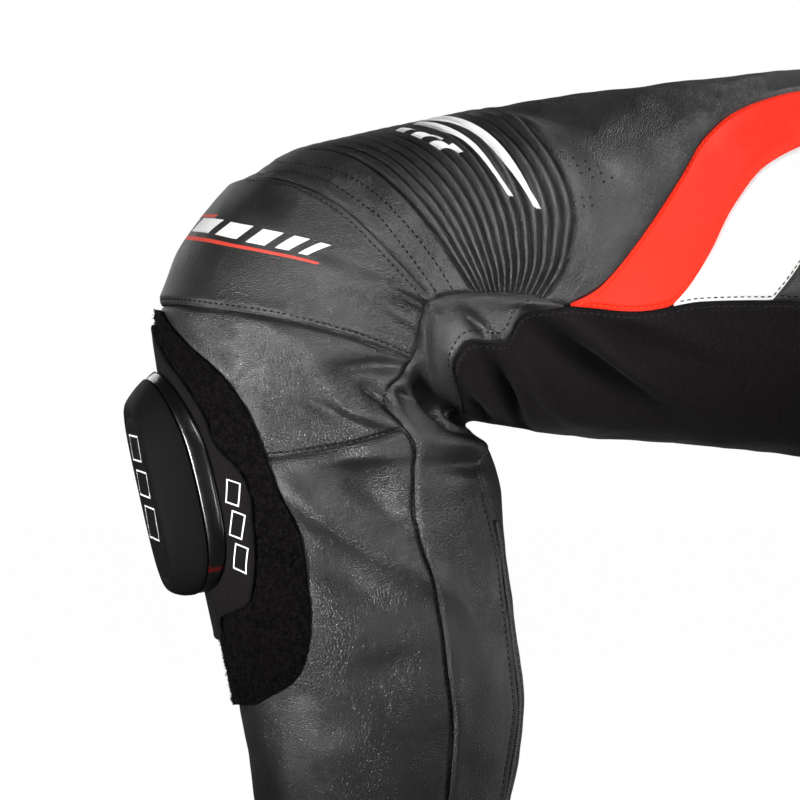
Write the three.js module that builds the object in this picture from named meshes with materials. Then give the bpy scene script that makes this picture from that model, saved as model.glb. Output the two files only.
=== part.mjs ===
// Leather motorcycle trousers, worn shape with bent knees, hollow and open at the waist and both hems.
// Units are millimetres, +Z is up, the wearer faces -Y and the wearer's left leg is at +X.
// The origin is the middle of the waist opening, where the wearer holds the garment up.
//
// Every point of the left half is skin(along, around): `along` runs from the hem (0) up the leg and over
// the hip to the waist (1130), and `around` is in degrees round the leg, 0 at the front, 90 on the outer
// side, 180 at the back and 270 (or -90) on the inner side. The right half is the left one mirrored in X.
import * as THREE from "three";

// ---- Driving dimensions ----
const LEATHER = 2.0; // cowhide with its lining
const STRETCH = 1.6; // woven stretch panel
const CAP_LEATHER = 2.4; // doubled hide over the knee cap
const HOOK_PILE = 1.6; // fastening pile under the knee slider
const FLAP = 2.0; // hook-backed flap of the knee slider
const SEAM_GAP = 0.3;
const LAYER_GAP = 2.1; // between a layer and what it lies on, so that flat facets stay clear
const FLAP_LIFT = 6.8; // the flap lies on the pile
const PLEATS = 14;
const PLEAT_HEIGHT = 2.4;
const PUCK_HEIGHT = 27.5;
const HEM_ALONG = 0;
const ZIP_TOP = 312;
const CALF_TOP = 400; // where the hide of the calf gives way to the stretch cloth behind the knee
const GROIN = 860;
const CROTCH = 885;
const WAIST_SEAM = 1095;
const WAIST_TOP = 1130;

// ---- Sections of the left leg and hip, hem to waist ----
// along, front of the ring (y, z), back of the ring (y, z), its middle and width in x, and how square it
// is (2 is an ellipse).
const SECTIONS = [
  { name: "hem", along: 0, frontY: -453, frontZ: -588, backY: -351, backZ: -573, middleX: 118, width: 100, square: 2.1 },
  { name: "ankle", along: 60, frontY: -461, frontZ: -536, backY: -337, backZ: -518, middleX: 119, width: 112, square: 2.1 },
  { name: "calf_low", along: 150, frontY: -472, frontZ: -459, backY: -321, backZ: -435, middleX: 122, width: 128, square: 2.2 },
  { name: "calf", along: 220, frontY: -482, frontZ: -408, backY: -325, backZ: -390, middleX: 125, width: 136, square: 2.3 },
  { name: "calf_top", along: 280, frontY: -493, frontZ: -357, backY: -331, backZ: -346, middleX: 128, width: 138, square: 2.3 },
  { name: "shin_top", along: 330, frontY: -502, frontZ: -313, backY: -334, backZ: -311, middleX: 131, width: 140, square: 2.3 },
  { name: "below_knee", along: 362, frontY: -510, frontZ: -277, backY: -338, backZ: -292, middleX: 133, width: 142, square: 2.3 },
  { name: "knee_low", along: 385, frontY: -517, frontZ: -244, backY: -343, backZ: -282, middleX: 135, width: 144, square: 2.3 },
  { name: "knee_seam", along: 405, frontY: -520, frontZ: -205, backY: -349, backZ: -277, middleX: 136, width: 146, square: 2.3 },
  { name: "knee_cap", along: 425, frontY: -505, frontZ: -173, backY: -352, backZ: -273, middleX: 136, width: 147, square: 2.3 },
  { name: "knee_top", along: 445, frontY: -481, frontZ: -139, backY: -352, backZ: -271, middleX: 136, width: 148, square: 2.3 },
  { name: "knee_band", along: 470, frontY: -451, frontZ: -124, backY: -348, backZ: -270, middleX: 135, width: 149, square: 2.3 },
  { name: "pleats_low", along: 500, frontY: -417, frontZ: -115, backY: -341, backZ: -271, middleX: 134, width: 151, square: 2.3 },
  { name: "pleats_mid", along: 540, frontY: -376, frontZ: -106, backY: -327, backZ: -273, middleX: 132, width: 154, square: 2.3 },
  { name: "pleats_top", along: 580, frontY: -338, frontZ: -98, backY: -310, backZ: -276, middleX: 130, width: 158, square: 2.3 },
  { name: "thigh_low", along: 620, frontY: -301, frontZ: -91, backY: -280, backZ: -279, middleX: 127, width: 162, square: 2.3 },
  { name: "thigh_mid", along: 700, frontY: -230, frontZ: -82, backY: -213, backZ: -284, middleX: 120, width: 170, square: 2.3 },
  { name: "thigh_high", along: 780, frontY: -158, frontZ: -74, backY: -135, backZ: -294, middleX: 110, width: 180, square: 2.3 },
  { name: "groin", along: 840, frontY: -110, frontZ: -71, backY: -54, backZ: -311, middleX: 100, width: 190, square: 2.2 },
  { name: "crotch", along: 885, frontY: -95, frontZ: -69, backY: 23, backZ: -316, middleX: 97, width: 194, square: 2.2 },
  { name: "seat_low", along: 925, frontY: -91, frontZ: -63, backY: 88, backZ: -287, middleX: 80, width: 222, square: 2.2 },
  { name: "seat", along: 965, frontY: -92, frontZ: -61, backY: 128, backZ: -230, middleX: 60, width: 260, square: 2.2 },
  { name: "seat_high", along: 1005, frontY: -95, frontZ: -58, backY: 142, backZ: -170, middleX: 40, width: 298, square: 2.2 },
  { name: "hip", along: 1050, frontY: -100, frontZ: -54, backY: 140, backZ: -98, middleX: 20, width: 330, square: 2.2 },
  { name: "yoke", along: 1095, frontY: -106, frontZ: -48, backY: 126, backZ: -18, middleX: 6, width: 336, square: 2.15 },
  { name: "waist", along: 1130, frontY: -112, frontZ: -23, backY: 112, backZ: 23, middleX: 0, width: 330, square: 2.1 },
];

// ---- Seams ----
// Seams that run up the leg: how far round the leg they are, at each height along it.
const SIDE_SEAM_FRONT = [
  [0, 118], [180, 118], [250, 119], [312, 115], [340, 116], [373, 120], [402, 115], [436, 120], [457, 117],
  [473, 111], [484, 105], [499, 99], [538, 98], [574, 99], [591, 101], [605, 104],
];
const SIDE_SEAM_BACK = [
  [0, 156], [215, 157], [282, 159], [312, 154], [331, 151], [346, 149], [364, 156], [379, 163], [400, 166],
  [425, 163], [447, 157], [465, 147], [476, 138], [485, 128], [500, 121], [518, 116], [542, 117], [556, 115],
  [572, 107], [587, 105], [605, 104],
];
const THIGH_SEAM = [[605, 104], [651, 106], [690, 103], [780, 102], [860, 102], [925, 104], [1010, 108], [1095, 110]];
const STRIPE_FRONT = [
  [605, 104], [627, 98], [652, 85], [683, 65], [697, 54], [720, 42], [760, 34], [820, 32], [900, 36],
  [1000, 42], [1095, 46],
];
const STRIPE_MIDDLE = [
  [670, 105], [683, 98], [697, 88], [712, 75], [735, 62], [775, 54], [830, 52], [900, 55], [1000, 60], [1095, 62],
];
const STRIPE_BACK = [[730, 103], [742, 96], [756, 87], [775, 79], [810, 73], [860, 71], [930, 73], [1010, 76], [1095, 78]];

// Seams that cross the front of the leg: how far along they are, at each angle round it, the same both sides.
const SHIN_SEAM = [[0, 346], [40, 350], [67, 355], [84, 360], [96, 365], [110, 375], [119, 383]];
const CAP_SEAM = [[0, 404], [20, 405], [45, 409], [61, 414], [77, 421], [94, 429], [109, 438], [119, 447]];
const CAP_TOP = [[0, 446], [27, 455], [43, 466], [58, 477], [73, 485], [84, 491], [93, 497], [99, 501]];
const PLEAT_START = [[0, 468], [15, 478], [29, 490], [41, 501], [57, 512], [72, 522], [86, 530], [98, 538]];
const PLEAT_END = [
  [0, 564], [20, 579], [35, 592], [50, 604], [64, 613], [74, 615], [82, 612], [92, 605], [101, 591],
];

// The fastening pile and the knee slider's flap, as their inner and outer edges round the leg.
const PILE_INNER = [[198, -8], [215, -32], [250, -44], [300, -46], [350, -42], [385, -32], [403, -20]];
const PILE_OUTER = [
  [198, 36], [211, 55], [227, 64], [253, 69], [279, 71], [306, 71], [331, 68], [354, 65], [369, 63],
  [382, 60], [391, 52], [397, 38], [403, 20],
];
const FLAP_INNER = [[244, 0], [262, -18], [285, -34], [320, -36], [350, -34], [375, -24], [399, -8]];
const FLAP_OUTER = [
  [244, 22], [259, 27], [265, 44], [274, 49], [294, 53], [319, 55], [337, 56], [350, 53], [360, 46],
  [375, 43], [386, 34], [393, 20], [399, 9],
];

// The heights of the rings that the panels' corners lie on.
const SHIN_RINGS = [0, 60, 120, 180, 240, 285, ZIP_TOP, 346, 383];
const KNEE_LOW_RINGS = [383, 400, 412, 424, 436, 447];
const CAP_RINGS = [447, 460, 475, 488, 501];
const BAND_RINGS = [501, 520, 538];
const PLEAT_RINGS = [538, 556, 572, 591];
const THIGH_RINGS = [591, 605, 638, 670, 700, 730, 775, 820, GROIN];
const PILE_RINGS = [198, 212, 250, 290, 330, 352, 370, 382, 390, 397, 403];
const FLAP_RINGS = [244, 266, 290, 320, 350, 366, 380, 390, 399];
const HIP_RINGS = [GROIN, CROTCH, 925, 965, 1010, 1050, WAIST_SEAM];

// The largest folds: where the middle is, half their length and width in mm, how far they are turned from
// up the leg towards round it in degrees, and how high they stand (below 0 is a hollow).
const FOLDS = [
  { name: "oval hollow", along: 405, around: 110, length: 9, width: 7, turn: 138, height: -5 },
  { name: "knee ridge", along: 387, around: 104, length: 13, width: 5, turn: 98, height: 4 },
  { name: "shin hollow", along: 334, around: 100, length: 25, width: 13, turn: 160, height: -7 },
  { name: "shin ridge high", along: 326, around: 78, length: 24, width: 8.5, turn: 140, height: 4.5 },
  { name: "shin ridge low", along: 290, around: 103, length: 35, width: 9, turn: 137, height: 4.5 },
  { name: "crease pocket", along: 422, around: 138, length: 20, width: 8, turn: 143, height: -9 },
  { name: "roll under it", along: 378, around: 141, length: 24, width: 10, turn: 86, height: 4 },
  { name: "thigh hollow", along: 619, around: 124, length: 40, width: 6, turn: 30, height: -5 },
  { name: "thigh ridge", along: 580, around: 134, length: 33, width: 7.5, turn: 44, height: 3.5 },
];
const MM_PER_DEGREE = 1.3; // round the leg, for measuring folds

// ---- The garment's surface ----
// Smooth value of a table at x: a cubic through its rows whose slopes come from the rows on either side.
function smooth(rows, x, key = (row) => row[0], value = (row) => row[1]) {
  const last = rows.length - 1;
  let i = 0;
  while (i < last - 1 && x > key(rows[i + 1])) i++;
  const slope = (k) => {
    const a = rows[Math.max(k - 1, 0)];
    const b = rows[Math.min(k + 1, last)];
    return (value(b) - value(a)) / (key(b) - key(a));
  };
  const step = key(rows[i + 1]) - key(rows[i]);
  const u = THREE.MathUtils.clamp((x - key(rows[i])) / step, 0, 1);
  const start = value(rows[i]) * (1 + 2 * u) * (1 - u) ** 2 + slope(i) * step * u * (1 - u) ** 2;
  const end = value(rows[i + 1]) * u * u * (3 - 2 * u) + slope(i + 1) * step * u * u * (u - 1);
  return start + end;
}

function section(along, column) {
  return smooth(SECTIONS, along, (row) => row.along, (row) => row[column]);
}

function foldHeight(along, around) {
  let height = 0;
  for (const fold of FOLDS) {
    const turn = THREE.MathUtils.degToRad(fold.turn);
    const up = along - fold.along;
    const round = (around - fold.around) * MM_PER_DEGREE;
    const lengthwise = up * Math.cos(turn) + round * Math.sin(turn);
    const crosswise = -up * Math.sin(turn) + round * Math.cos(turn);
    height += fold.height * Math.exp(-((lengthwise / fold.length) ** 2) - (crosswise / fold.width) ** 2);
  }
  return height;
}

// A superellipse ring, stretched between its front and back points.
function ringPoint(along, around) {
  const angle = THREE.MathUtils.degToRad(around);
  const square = section(along, "square");
  const c = Math.cos(angle);
  const s = Math.sin(angle);
  const reach = (Math.abs(c) ** square + Math.abs(s) ** square) ** (-1 / square);
  const frontY = section(along, "frontY");
  const backY = section(along, "backY");
  const frontZ = section(along, "frontZ");
  const backZ = section(along, "backZ");
  return new THREE.Vector3(
    section(along, "middleX") + (reach * s * section(along, "width")) / 2,
    (frontY + backY) / 2 + (reach * c * (frontY - backY)) / 2,
    (frontZ + backZ) / 2 + (reach * c * (frontZ - backZ)) / 2,
  );
}

function outward(along, around) {
  const low = Math.max(along - 3, HEM_ALONG);
  const high = Math.min(along + 3, WAIST_TOP);
  const up = ringPoint(high, around).sub(ringPoint(low, around));
  const round = ringPoint(along, around + 2).sub(ringPoint(along, around - 2));
  return round.cross(up).normalize();
}

// A point of the left half, moved out from the surface by lift.
function skin(along, around, lift = 0) {
  return ringPoint(along, around).addScaledVector(outward(along, around), lift + foldHeight(along, around));
}

// Where the ring at this height meets the middle plane: 90 below the crotch, falling to 0 at the waist.
function middleAngle(along) {
  const share = Math.min((2 * section(along, "middleX")) / section(along, "width"), 1);
  if (along <= CROTCH || share >= 1) return 90;
  const square = section(along, "square");
  return THREE.MathUtils.radToDeg(Math.atan2(Math.max(share, 0), (1 - Math.max(share, 0) ** square) ** (1 / square)));
}

// ---- Panels ----
// A panel is a list of columns, each a list of nodes [along, around, relief] from its lower edge to its
// upper edge. Columns may differ in how many nodes they have. It becomes a closed wall: an outer face, an
// inner face that is `thick` below it, and rims, drawn in by half a seam gap all round.
function wall(columns, thick, lift = 0, innerColumns = columns) {
  const place = (nodes, height) => nodes.map(([along, around, relief = 0]) => skin(along, around, height + relief));
  const outer = columns.map((nodes) => place(nodes, lift + thick));
  const inner = innerColumns.map((nodes) => place(nodes.map(([along, around]) => [along, around]), lift));
  trimEdges(outer, inner);
  const corners = [];
  const face = (a, b, c) => corners.push(a, b, c);
  const last = columns.length - 1;
  const top = (column) => column[column.length - 1];
  for (let j = 0; j < last; j++) {
    zipper(outer[j], outer[j + 1], face);
    zipper(inner[j], inner[j + 1], (a, b, c) => face(b, a, c));
    rim(inner[j][0], inner[j + 1][0], outer[j][0], outer[j + 1][0], face);
    rim(top(inner[j]), top(inner[j + 1]), top(outer[j]), top(outer[j + 1]), (a, b, c) => face(b, a, c));
  }
  for (let i = 0; i + 1 < columns[0].length; i++) {
    rim(inner[0][i], inner[0][i + 1], outer[0][i], outer[0][i + 1], (a, b, c) => face(b, a, c));
  }
  for (let i = 0; i + 1 < columns[last].length; i++) {
    rim(inner[last][i], inner[last][i + 1], outer[last][i], outer[last][i + 1], face);
  }
  return geometryOf(corners);
}

// Fills between two neighbouring columns, stepping up whichever is behind.
function zipper(columnA, columnB, face) {
  const countA = columnA.length - 1;
  const countB = columnB.length - 1;
  let i = 0;
  let k = 0;
  while (i < countA || k < countB) {
    const stepA = k >= countB || (i < countA && (i + 1) / countA <= (k + 1) / countB);
    face(columnA[i], columnB[k], stepA ? columnA[i + 1] : columnB[k + 1]);
    if (stepA) i++;
    else k++;
  }
}

// Both panels of a seam get the same diagonal across its rim, so that their twisted rims stay parallel.
function rim(innerA, innerB, outerA, outerB, face) {
  face(innerA, innerB, outerB);
  face(innerA, outerB, outerA);
}

// Moves the edge nodes inwards across the edge, by half a seam gap.
function trimEdges(outer, inner) {
  const moves = [];
  const last = outer.length - 1;
  const inset = (node, before, after, inside) => {
    const edge = after.clone().sub(before).normalize();
    const move = inside.clone().sub(node);
    move.addScaledVector(edge, -move.dot(edge)).setLength(SEAM_GAP / 2);
    return move;
  };
  const nearest = (column, share) => column[Math.round(share * (column.length - 1))];
  for (const [side, beside] of [[0, 1], [last, last - 1]]) {
    outer[side].forEach((node, i) => {
      const count = outer[side].length - 1;
      const before = outer[side][Math.max(i - 1, 0)];
      const after = outer[side][Math.min(i + 1, count)];
      moves.push([side, i, inset(node, before, after, nearest(outer[beside], i / count))]);
    });
  }
  for (let j = 0; j <= last; j++) {
    const top = outer[j].length - 1;
    for (const [i, inward] of [[0, 1], [top, top - 1]]) {
      const endOf = (column) => column[i === 0 ? 0 : column.length - 1];
      const before = endOf(outer[Math.max(j - 1, 0)]);
      const after = endOf(outer[Math.min(j + 1, last)]);
      moves.push([j, i, inset(outer[j][i], before, after, outer[j][inward])]);
    }
  }
  for (const [j, i, move] of moves) {
    outer[j][i].add(move);
    inner[j][i === 0 ? 0 : i - outer[j].length + inner[j].length].add(move);
  }
}

function geometryOf(corners) {
  const positions = new Float32Array(corners.length * 3);
  corners.forEach((corner, i) => corner.toArray(positions, i * 3));
  const geometry = new THREE.BufferGeometry();
  geometry.setAttribute("position", new THREE.BufferAttribute(positions, 3));
  geometry.computeVertexNormals();
  return geometry;
}

// A strip between two edges that run up the leg. At a tip, where the edges meet, the strip starts a
// little way up (or ends a little way down) so that it keeps a width.
const TIP_SHARE = 0.16;
function strip(rings, leftEdge, rightEdge, count) {
  const heights = rings.map((ring, i) => {
    const met = Math.abs(leftEdge(ring) - rightEdge(ring)) < 0.5;
    if (!met) return ring;
    return ring + (i === 0 ? rings[1] - ring : rings[i - 1] - ring) * TIP_SHARE;
  });
  return Array.from({ length: count + 1 }, (_, j) =>
    heights.map((along) => [along, THREE.MathUtils.lerp(leftEdge(along), rightEdge(along), j / count)]),
  );
}

// A panel across the front, between a lower and an upper crossing seam and its two side edges.
function crossing(rings, { lower, upper, left, right, count, fine = 1, relief = () => 0 }) {
  const bottom = rings[0];
  const top = rings[rings.length - 1];
  return Array.from({ length: count + 1 }, (_, j) => {
    const u = j / count;
    const lowAround = THREE.MathUtils.lerp(left(bottom), right(bottom), u);
    const highAround = THREE.MathUtils.lerp(left(top), right(top), u);
    const edge = j === 0 || j === count;
    const heights = edge || fine === 1 ? rings : Array.from({ length: fine + 1 }, (_, i) => bottom + ((top - bottom) * i) / fine);
    return heights.map((along, i) => {
      const v = (along - bottom) / (top - bottom);
      const corner = THREE.MathUtils.lerp(lowAround, highAround, v);
      const sides = THREE.MathUtils.lerp(left(along), right(along), u);
      const cornerSides = THREE.MathUtils.lerp(
        THREE.MathUtils.lerp(left(bottom), left(top), v),
        THREE.MathUtils.lerp(right(bottom), right(top), v),
        u,
      );
      const around = corner + sides - cornerSides;
      const drop = (1 - v) * (lower(Math.abs(lowAround)) - bottom) + v * (upper(Math.abs(highAround)) - top);
      return [edge ? along : along + drop, around, edge ? 0 : relief(i)];
    });
  });
}

const across = (table) => (angle) => smooth(table, angle);
const level = (height) => () => height;
const sideFront = (along) => smooth(SIDE_SEAM_FRONT, along);
const sideBack = (along) => smooth(SIDE_SEAM_BACK, along);
const thighSeam = (along) => smooth(THIGH_SEAM, along);
const stripeFront = (along) => (along <= 605 ? sideFront(along) : smooth(STRIPE_FRONT, along));
const stripeMiddle = (along) => (along <= 670 ? thighSeam(along) : smooth(STRIPE_MIDDLE, along));
const stripeBack = (along) => (along <= 730 ? thighSeam(along) : smooth(STRIPE_BACK, along));
const backSeam = (along) => (along <= 605 ? sideBack(along) : thighSeam(along));
const innerFront = (along) => (along <= 605 ? -sideFront(along) : -thighSeam(along));
const innerBack = (along) => 360 - backSeam(along);
const frontMiddle = (along) => (along <= GROIN ? -thighSeam(along) : -middleAngle(along));
const backMiddle = (along) => (along <= GROIN ? 360 - thighSeam(along) : 180 + middleAngle(along));

// ---- Materials ----
const finish = (color, roughness, metalness = 0) => new THREE.MeshStandardMaterial({ color, roughness, metalness });
const BLACK_LEATHER = finish(0x2b2b2c, 0.45);
const RED_LEATHER = finish(0xf0402c, 0.5);
const WHITE_LEATHER = finish(0xf2f2f0, 0.5);
const STRETCH_FABRIC = finish(0x1d1b1f, 0.9);
const PILE_FABRIC = finish(0x0f0c0c, 1);
const BLACK_PLASTIC = finish(0x1b1b1c, 0.35);
const ZIP_METAL = finish(0x3a3a3c, 0.4, 0.8);

// ---- The knee slider's puck ----
// A block whose back follows the flap and whose front is a flat rounded face: rings of a rounded outline,
// from the middle of the back, out to its rim, up the sloping wall and in over the face.
const PUCK = {
  along: 337, around: 10, backAbove: 50, backBelow: 62, halfAngle: 34, faceHalfLength: 48, faceHalfWidth: 34, corners: 20,
};
const PUCK_RINGS = [
  { size: 0.34, height: 0 }, { size: 0.68, height: 0 }, { size: 1, height: 0 }, { size: 0.99, height: 0.42 },
  { size: 0.93, height: 0.88 }, { size: 0.84, height: 1 }, { size: 0.4, height: 1 },
];
function puckGeometry() {
  const normal = outward(PUCK.along, PUCK.around);
  const foot = ringPoint(PUCK.along, PUCK.around);
  const up = ringPoint(PUCK.along + 4, PUCK.around).sub(ringPoint(PUCK.along - 4, PUCK.around)).normalize();
  const round = up.clone().cross(normal);
  const back = FLAP_LIFT + FLAP + LAYER_GAP;
  const flat = (size, c, s) =>
    foot.clone()
      .addScaledVector(normal, PUCK_HEIGHT)
      .addScaledVector(up, size * s * PUCK.faceHalfLength)
      .addScaledVector(round, size * c * PUCK.faceHalfWidth);
  const point = ({ size, height }, corner) => {
    const angle = (corner / PUCK.corners) * 2 * Math.PI;
    const square = 2.8;
    const reach = (Math.abs(Math.cos(angle)) ** square + Math.abs(Math.sin(angle)) ** square) ** (-1 / square);
    const c = Math.cos(angle) * reach;
    const s = Math.sin(angle) * reach;
    const low = skin(PUCK.along + size * s * (s < 0 ? PUCK.backBelow : PUCK.backAbove), PUCK.around + size * c * PUCK.halfAngle, back);
    return low.lerp(flat(size / PUCK_RINGS[5].size, c, s), height);
  };
  const rings = PUCK_RINGS.map((ring) => Array.from({ length: PUCK.corners }, (_, k) => point(ring, k)));
  const corners = [];
  const backMiddlePoint = skin(PUCK.along, PUCK.around, back);
  const faceMiddlePoint = flat(0, 0, 0);
  for (let k = 0; k < PUCK.corners; k++) {
    const next = (k + 1) % PUCK.corners;
    corners.push(backMiddlePoint, rings[0][next], rings[0][k]);
    for (let r = 0; r + 1 < rings.length; r++) {
      corners.push(rings[r][k], rings[r][next], rings[r + 1][next]);
      corners.push(rings[r][k], rings[r + 1][next], rings[r + 1][k]);
    }
    corners.push(faceMiddlePoint, rings[rings.length - 1][k], rings[rings.length - 1][next]);
  }
  return geometryOf(corners);
}

// ---- The calf zip's slider and its pull tab ----
const ZIP_WIDTH = 6; // degrees round the leg
const ZIP_SLIDER = { along: 34, width: 9, length: 13, floor: 2, height: 5, ear: 1.1 };
const PULL = { width: 6.2, length: 27, thick: 1.4 };
const zipEdge = (along) => sideBack(along) + ZIP_WIDTH;

function zipFrame() {
  const around = sideBack(ZIP_SLIDER.along) + ZIP_WIDTH / 2;
  const out = outward(ZIP_SLIDER.along, around);
  const up = ringPoint(ZIP_SLIDER.along + 4, around).sub(ringPoint(ZIP_SLIDER.along - 4, around)).normalize();
  const place = skin(ZIP_SLIDER.along, around, SEAM_GAP);
  return { out, up, side: out.clone().cross(up), place };
}

// A channel: a floor and two ears that hold the pull tab's pin between them.
function zipSliderGeometry() {
  const { out, up, side, place } = zipFrame();
  const { width, length, floor, height, ear } = ZIP_SLIDER;
  const half = width / 2;
  const profile = [
    [-half, 0], [half, 0], [half, height], [half - ear, height], [half - ear, floor],
    [ear - half, floor], [ear - half, height], [-half, height],
  ];
  const shape = new THREE.Shape(profile.map(([x, y]) => new THREE.Vector2(x, y)));
  const geometry = new THREE.ExtrudeGeometry(shape, { depth: length, bevelEnabled: false }).translate(0, 0, -length / 2);
  geometry.applyMatrix4(new THREE.Matrix4().makeBasis(side, out, up.clone()).setPosition(place));
  return geometry.index ? geometry.toNonIndexed() : geometry;
}

// The tab hangs straight down from its pin, which lies between the ears near the slider's upper end.
function zipPullGeometry() {
  const { out, up, side, place } = zipFrame();
  const pin = place.clone()
    .addScaledVector(out, ZIP_SLIDER.height - PULL.thick / 2)
    .addScaledVector(up, ZIP_SLIDER.length / 2 - PULL.thick);
  const down = new THREE.Vector3(0, 0, -1).addScaledVector(side, side.z).normalize();
  const geometry = new THREE.BoxGeometry(PULL.width, PULL.thick, PULL.length).toNonIndexed();
  geometry.translate(0, 0, -PULL.length / 2 + PULL.thick / 2);
  const tall = down.clone().negate();
  return geometry.applyMatrix4(new THREE.Matrix4().makeBasis(side, tall.clone().cross(side), tall).setPosition(pin));
}

// ---- Waist fastening ----
const FLY = { rings: [918, 940, 965, 1000, 1045, 1090], width: 30, thick: 1.6 };
const WAIST_TAB = { low: 1099, high: 1127, left: -10, right: 13, thick: 1.8 };
const SNAP = { along: 1113, around: 7, radius: 6, height: 3, sides: 16 };
function snapGeometry() {
  const out = outward(SNAP.along, SNAP.around);
  const lift = LAYER_GAP + WAIST_TAB.thick + SEAM_GAP + SNAP.height / 2 + 0.4;
  const geometry = new THREE.CylinderGeometry(SNAP.radius * 0.85, SNAP.radius, SNAP.height, SNAP.sides).toNonIndexed();
  const turn = new THREE.Quaternion().setFromUnitVectors(new THREE.Vector3(0, 1, 0), out);
  return geometry.applyQuaternion(turn).translate(...ringPoint(SNAP.along, SNAP.around).addScaledVector(out, lift).toArray());
}

// ---- The garment ----
// Panels of one half. Walls hang inwards from the surface, and layers are lifted off it.
const FRONT_COLUMNS = 9;
const BACK_COLUMNS = 6;
function halfPanels() {
  const hide = (columns, thick = LEATHER) => wall(columns, thick, -thick);
  const band = (rings, lower, upper) =>
    crossing(rings, { left: (along) => -sideFront(along), right: sideFront, lower, upper, count: FRONT_COLUMNS });
  const above = (rings, start) => rings.filter((ring) => ring >= start);
  const sideRings = [...new Set([...SHIN_RINGS, ...KNEE_LOW_RINGS, ...CAP_RINGS, ...BAND_RINGS, ...PLEAT_RINGS, 605])];
  const backRings = [...new Set([...above(sideRings, CALF_TOP), ...above(THIGH_RINGS, 605)])];
  const calfTopRings = above(sideRings, ZIP_TOP).filter((ring) => ring <= CALF_TOP);
  const upRings = [...new Set([...above(THIGH_RINGS, 605), ...HIP_RINGS])];
  const zipRings = SHIN_RINGS.filter((ring) => ring <= ZIP_TOP);

  const pleatEnds = {
    left: (along) => -sideFront(along), right: sideFront,
    lower: across(PLEAT_START), upper: across(PLEAT_END), count: FRONT_COLUMNS,
  };
  const pleats = crossing(PLEAT_RINGS, { ...pleatEnds, fine: 2 * PLEATS, relief: (i) => (i % 2 ? PLEAT_HEIGHT : 0) });
  const thighFront = crossing(THIGH_RINGS, {
    left: innerFront, right: stripeFront, lower: across(PLEAT_END), upper: level(GROIN), count: FRONT_COLUMNS,
  });
  const hipFront = strip(HIP_RINGS, frontMiddle, stripeFront, FRONT_COLUMNS);
  const stripeRed = strip(upRings, stripeFront, stripeMiddle, 2);
  const stripeWhite = strip(above(upRings, 670), stripeMiddle, stripeBack, 2);
  const hipSide = strip(above(upRings, 730), stripeBack, thighSeam, 3);
  const seat = strip(HIP_RINGS, thighSeam, backMiddle, BACK_COLUMNS);
  const waistAngles = new Set(
    [hipFront, stripeRed, stripeWhite, hipSide, seat].flatMap((columns) => columns.map((nodes) => nodes[nodes.length - 1][1])),
  );
  const waistShare = (around) => (around + middleAngle(WAIST_SEAM)) / (180 + 2 * middleAngle(WAIST_SEAM));
  const waistband = [...waistAngles].map((around) => [
    [WAIST_SEAM, around],
    [WAIST_TOP, THREE.MathUtils.lerp(-middleAngle(WAIST_TOP), 180 + middleAngle(WAIST_TOP), waistShare(around))],
  ]);
  const edge = (table) => (along) => smooth(table, along);
  const pile = strip(PILE_RINGS, edge(PILE_INNER), edge(PILE_OUTER), 8);
  const flap = strip(FLAP_RINGS, edge(FLAP_INNER), edge(FLAP_OUTER), 6);
  return [
    ["shin", hide(band(SHIN_RINGS, level(HEM_ALONG), across(SHIN_SEAM))), BLACK_LEATHER],
    ["knee_low", hide(band(KNEE_LOW_RINGS, across(SHIN_SEAM), across(CAP_SEAM))), BLACK_LEATHER],
    ["knee_cap", hide(band(CAP_RINGS, across(CAP_SEAM), across(CAP_TOP)), CAP_LEATHER), BLACK_LEATHER],
    ["knee_band", hide(band(BAND_RINGS, across(CAP_TOP), across(PLEAT_START))), BLACK_LEATHER],
    ["pleats", wall(pleats, LEATHER, -LEATHER, crossing(PLEAT_RINGS, pleatEnds)), BLACK_LEATHER],
    ["thigh_front", hide(thighFront), BLACK_LEATHER],
    ["hip_front", hide(hipFront), BLACK_LEATHER],
    ["stripe_red", hide(stripeRed), RED_LEATHER],
    ["stripe_white", hide(stripeWhite), WHITE_LEATHER],
    ["hip_side", hide(hipSide), BLACK_LEATHER],
    ["calf_top", hide(strip(calfTopRings, sideBack, innerBack, 4)), BLACK_LEATHER],
    ["stretch_back", hide(strip(backRings, backSeam, innerBack, BACK_COLUMNS), STRETCH), STRETCH_FABRIC],
    ["seat", hide(seat), BLACK_LEATHER],
    ["gusset_outer", hide(strip(sideRings, sideFront, sideBack, 3)), BLACK_LEATHER],
    ["gusset_inner", hide(strip(sideRings, (along) => 360 - sideBack(along), (along) => 360 - sideFront(along), 2)), BLACK_LEATHER],
    ["calf_zip", hide(strip(zipRings, sideBack, zipEdge, 1), STRETCH), PILE_FABRIC],
    ["calf_back", hide(strip(zipRings, zipEdge, (along) => 360 - sideBack(along), 3)), BLACK_LEATHER],
    ["pile", wall(pile, HOOK_PILE, LAYER_GAP), PILE_FABRIC],
    ["slider_flap", wall(flap, FLAP, FLAP_LIFT), PILE_FABRIC],
    ["slider_puck", puckGeometry(), BLACK_PLASTIC],
    ["waistband", hide(waistband), BLACK_LEATHER],
    ["zip_slider", zipSliderGeometry(), ZIP_METAL],
    ["zip_pull", zipPullGeometry(), ZIP_METAL],
  ];
}

function mirrored(geometry) {
  const copy = geometry.clone();
  const p = copy.getAttribute("position");
  for (let i = 0; i < p.count; i += 3) {
    const [bx, by, bz] = [p.getX(i + 1), p.getY(i + 1), p.getZ(i + 1)];
    p.setXYZ(i, -p.getX(i), p.getY(i), p.getZ(i));
    p.setXYZ(i + 1, -p.getX(i + 2), p.getY(i + 2), p.getZ(i + 2));
    p.setXYZ(i + 2, -bx, by, bz);
  }
  return copy;
}

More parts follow.
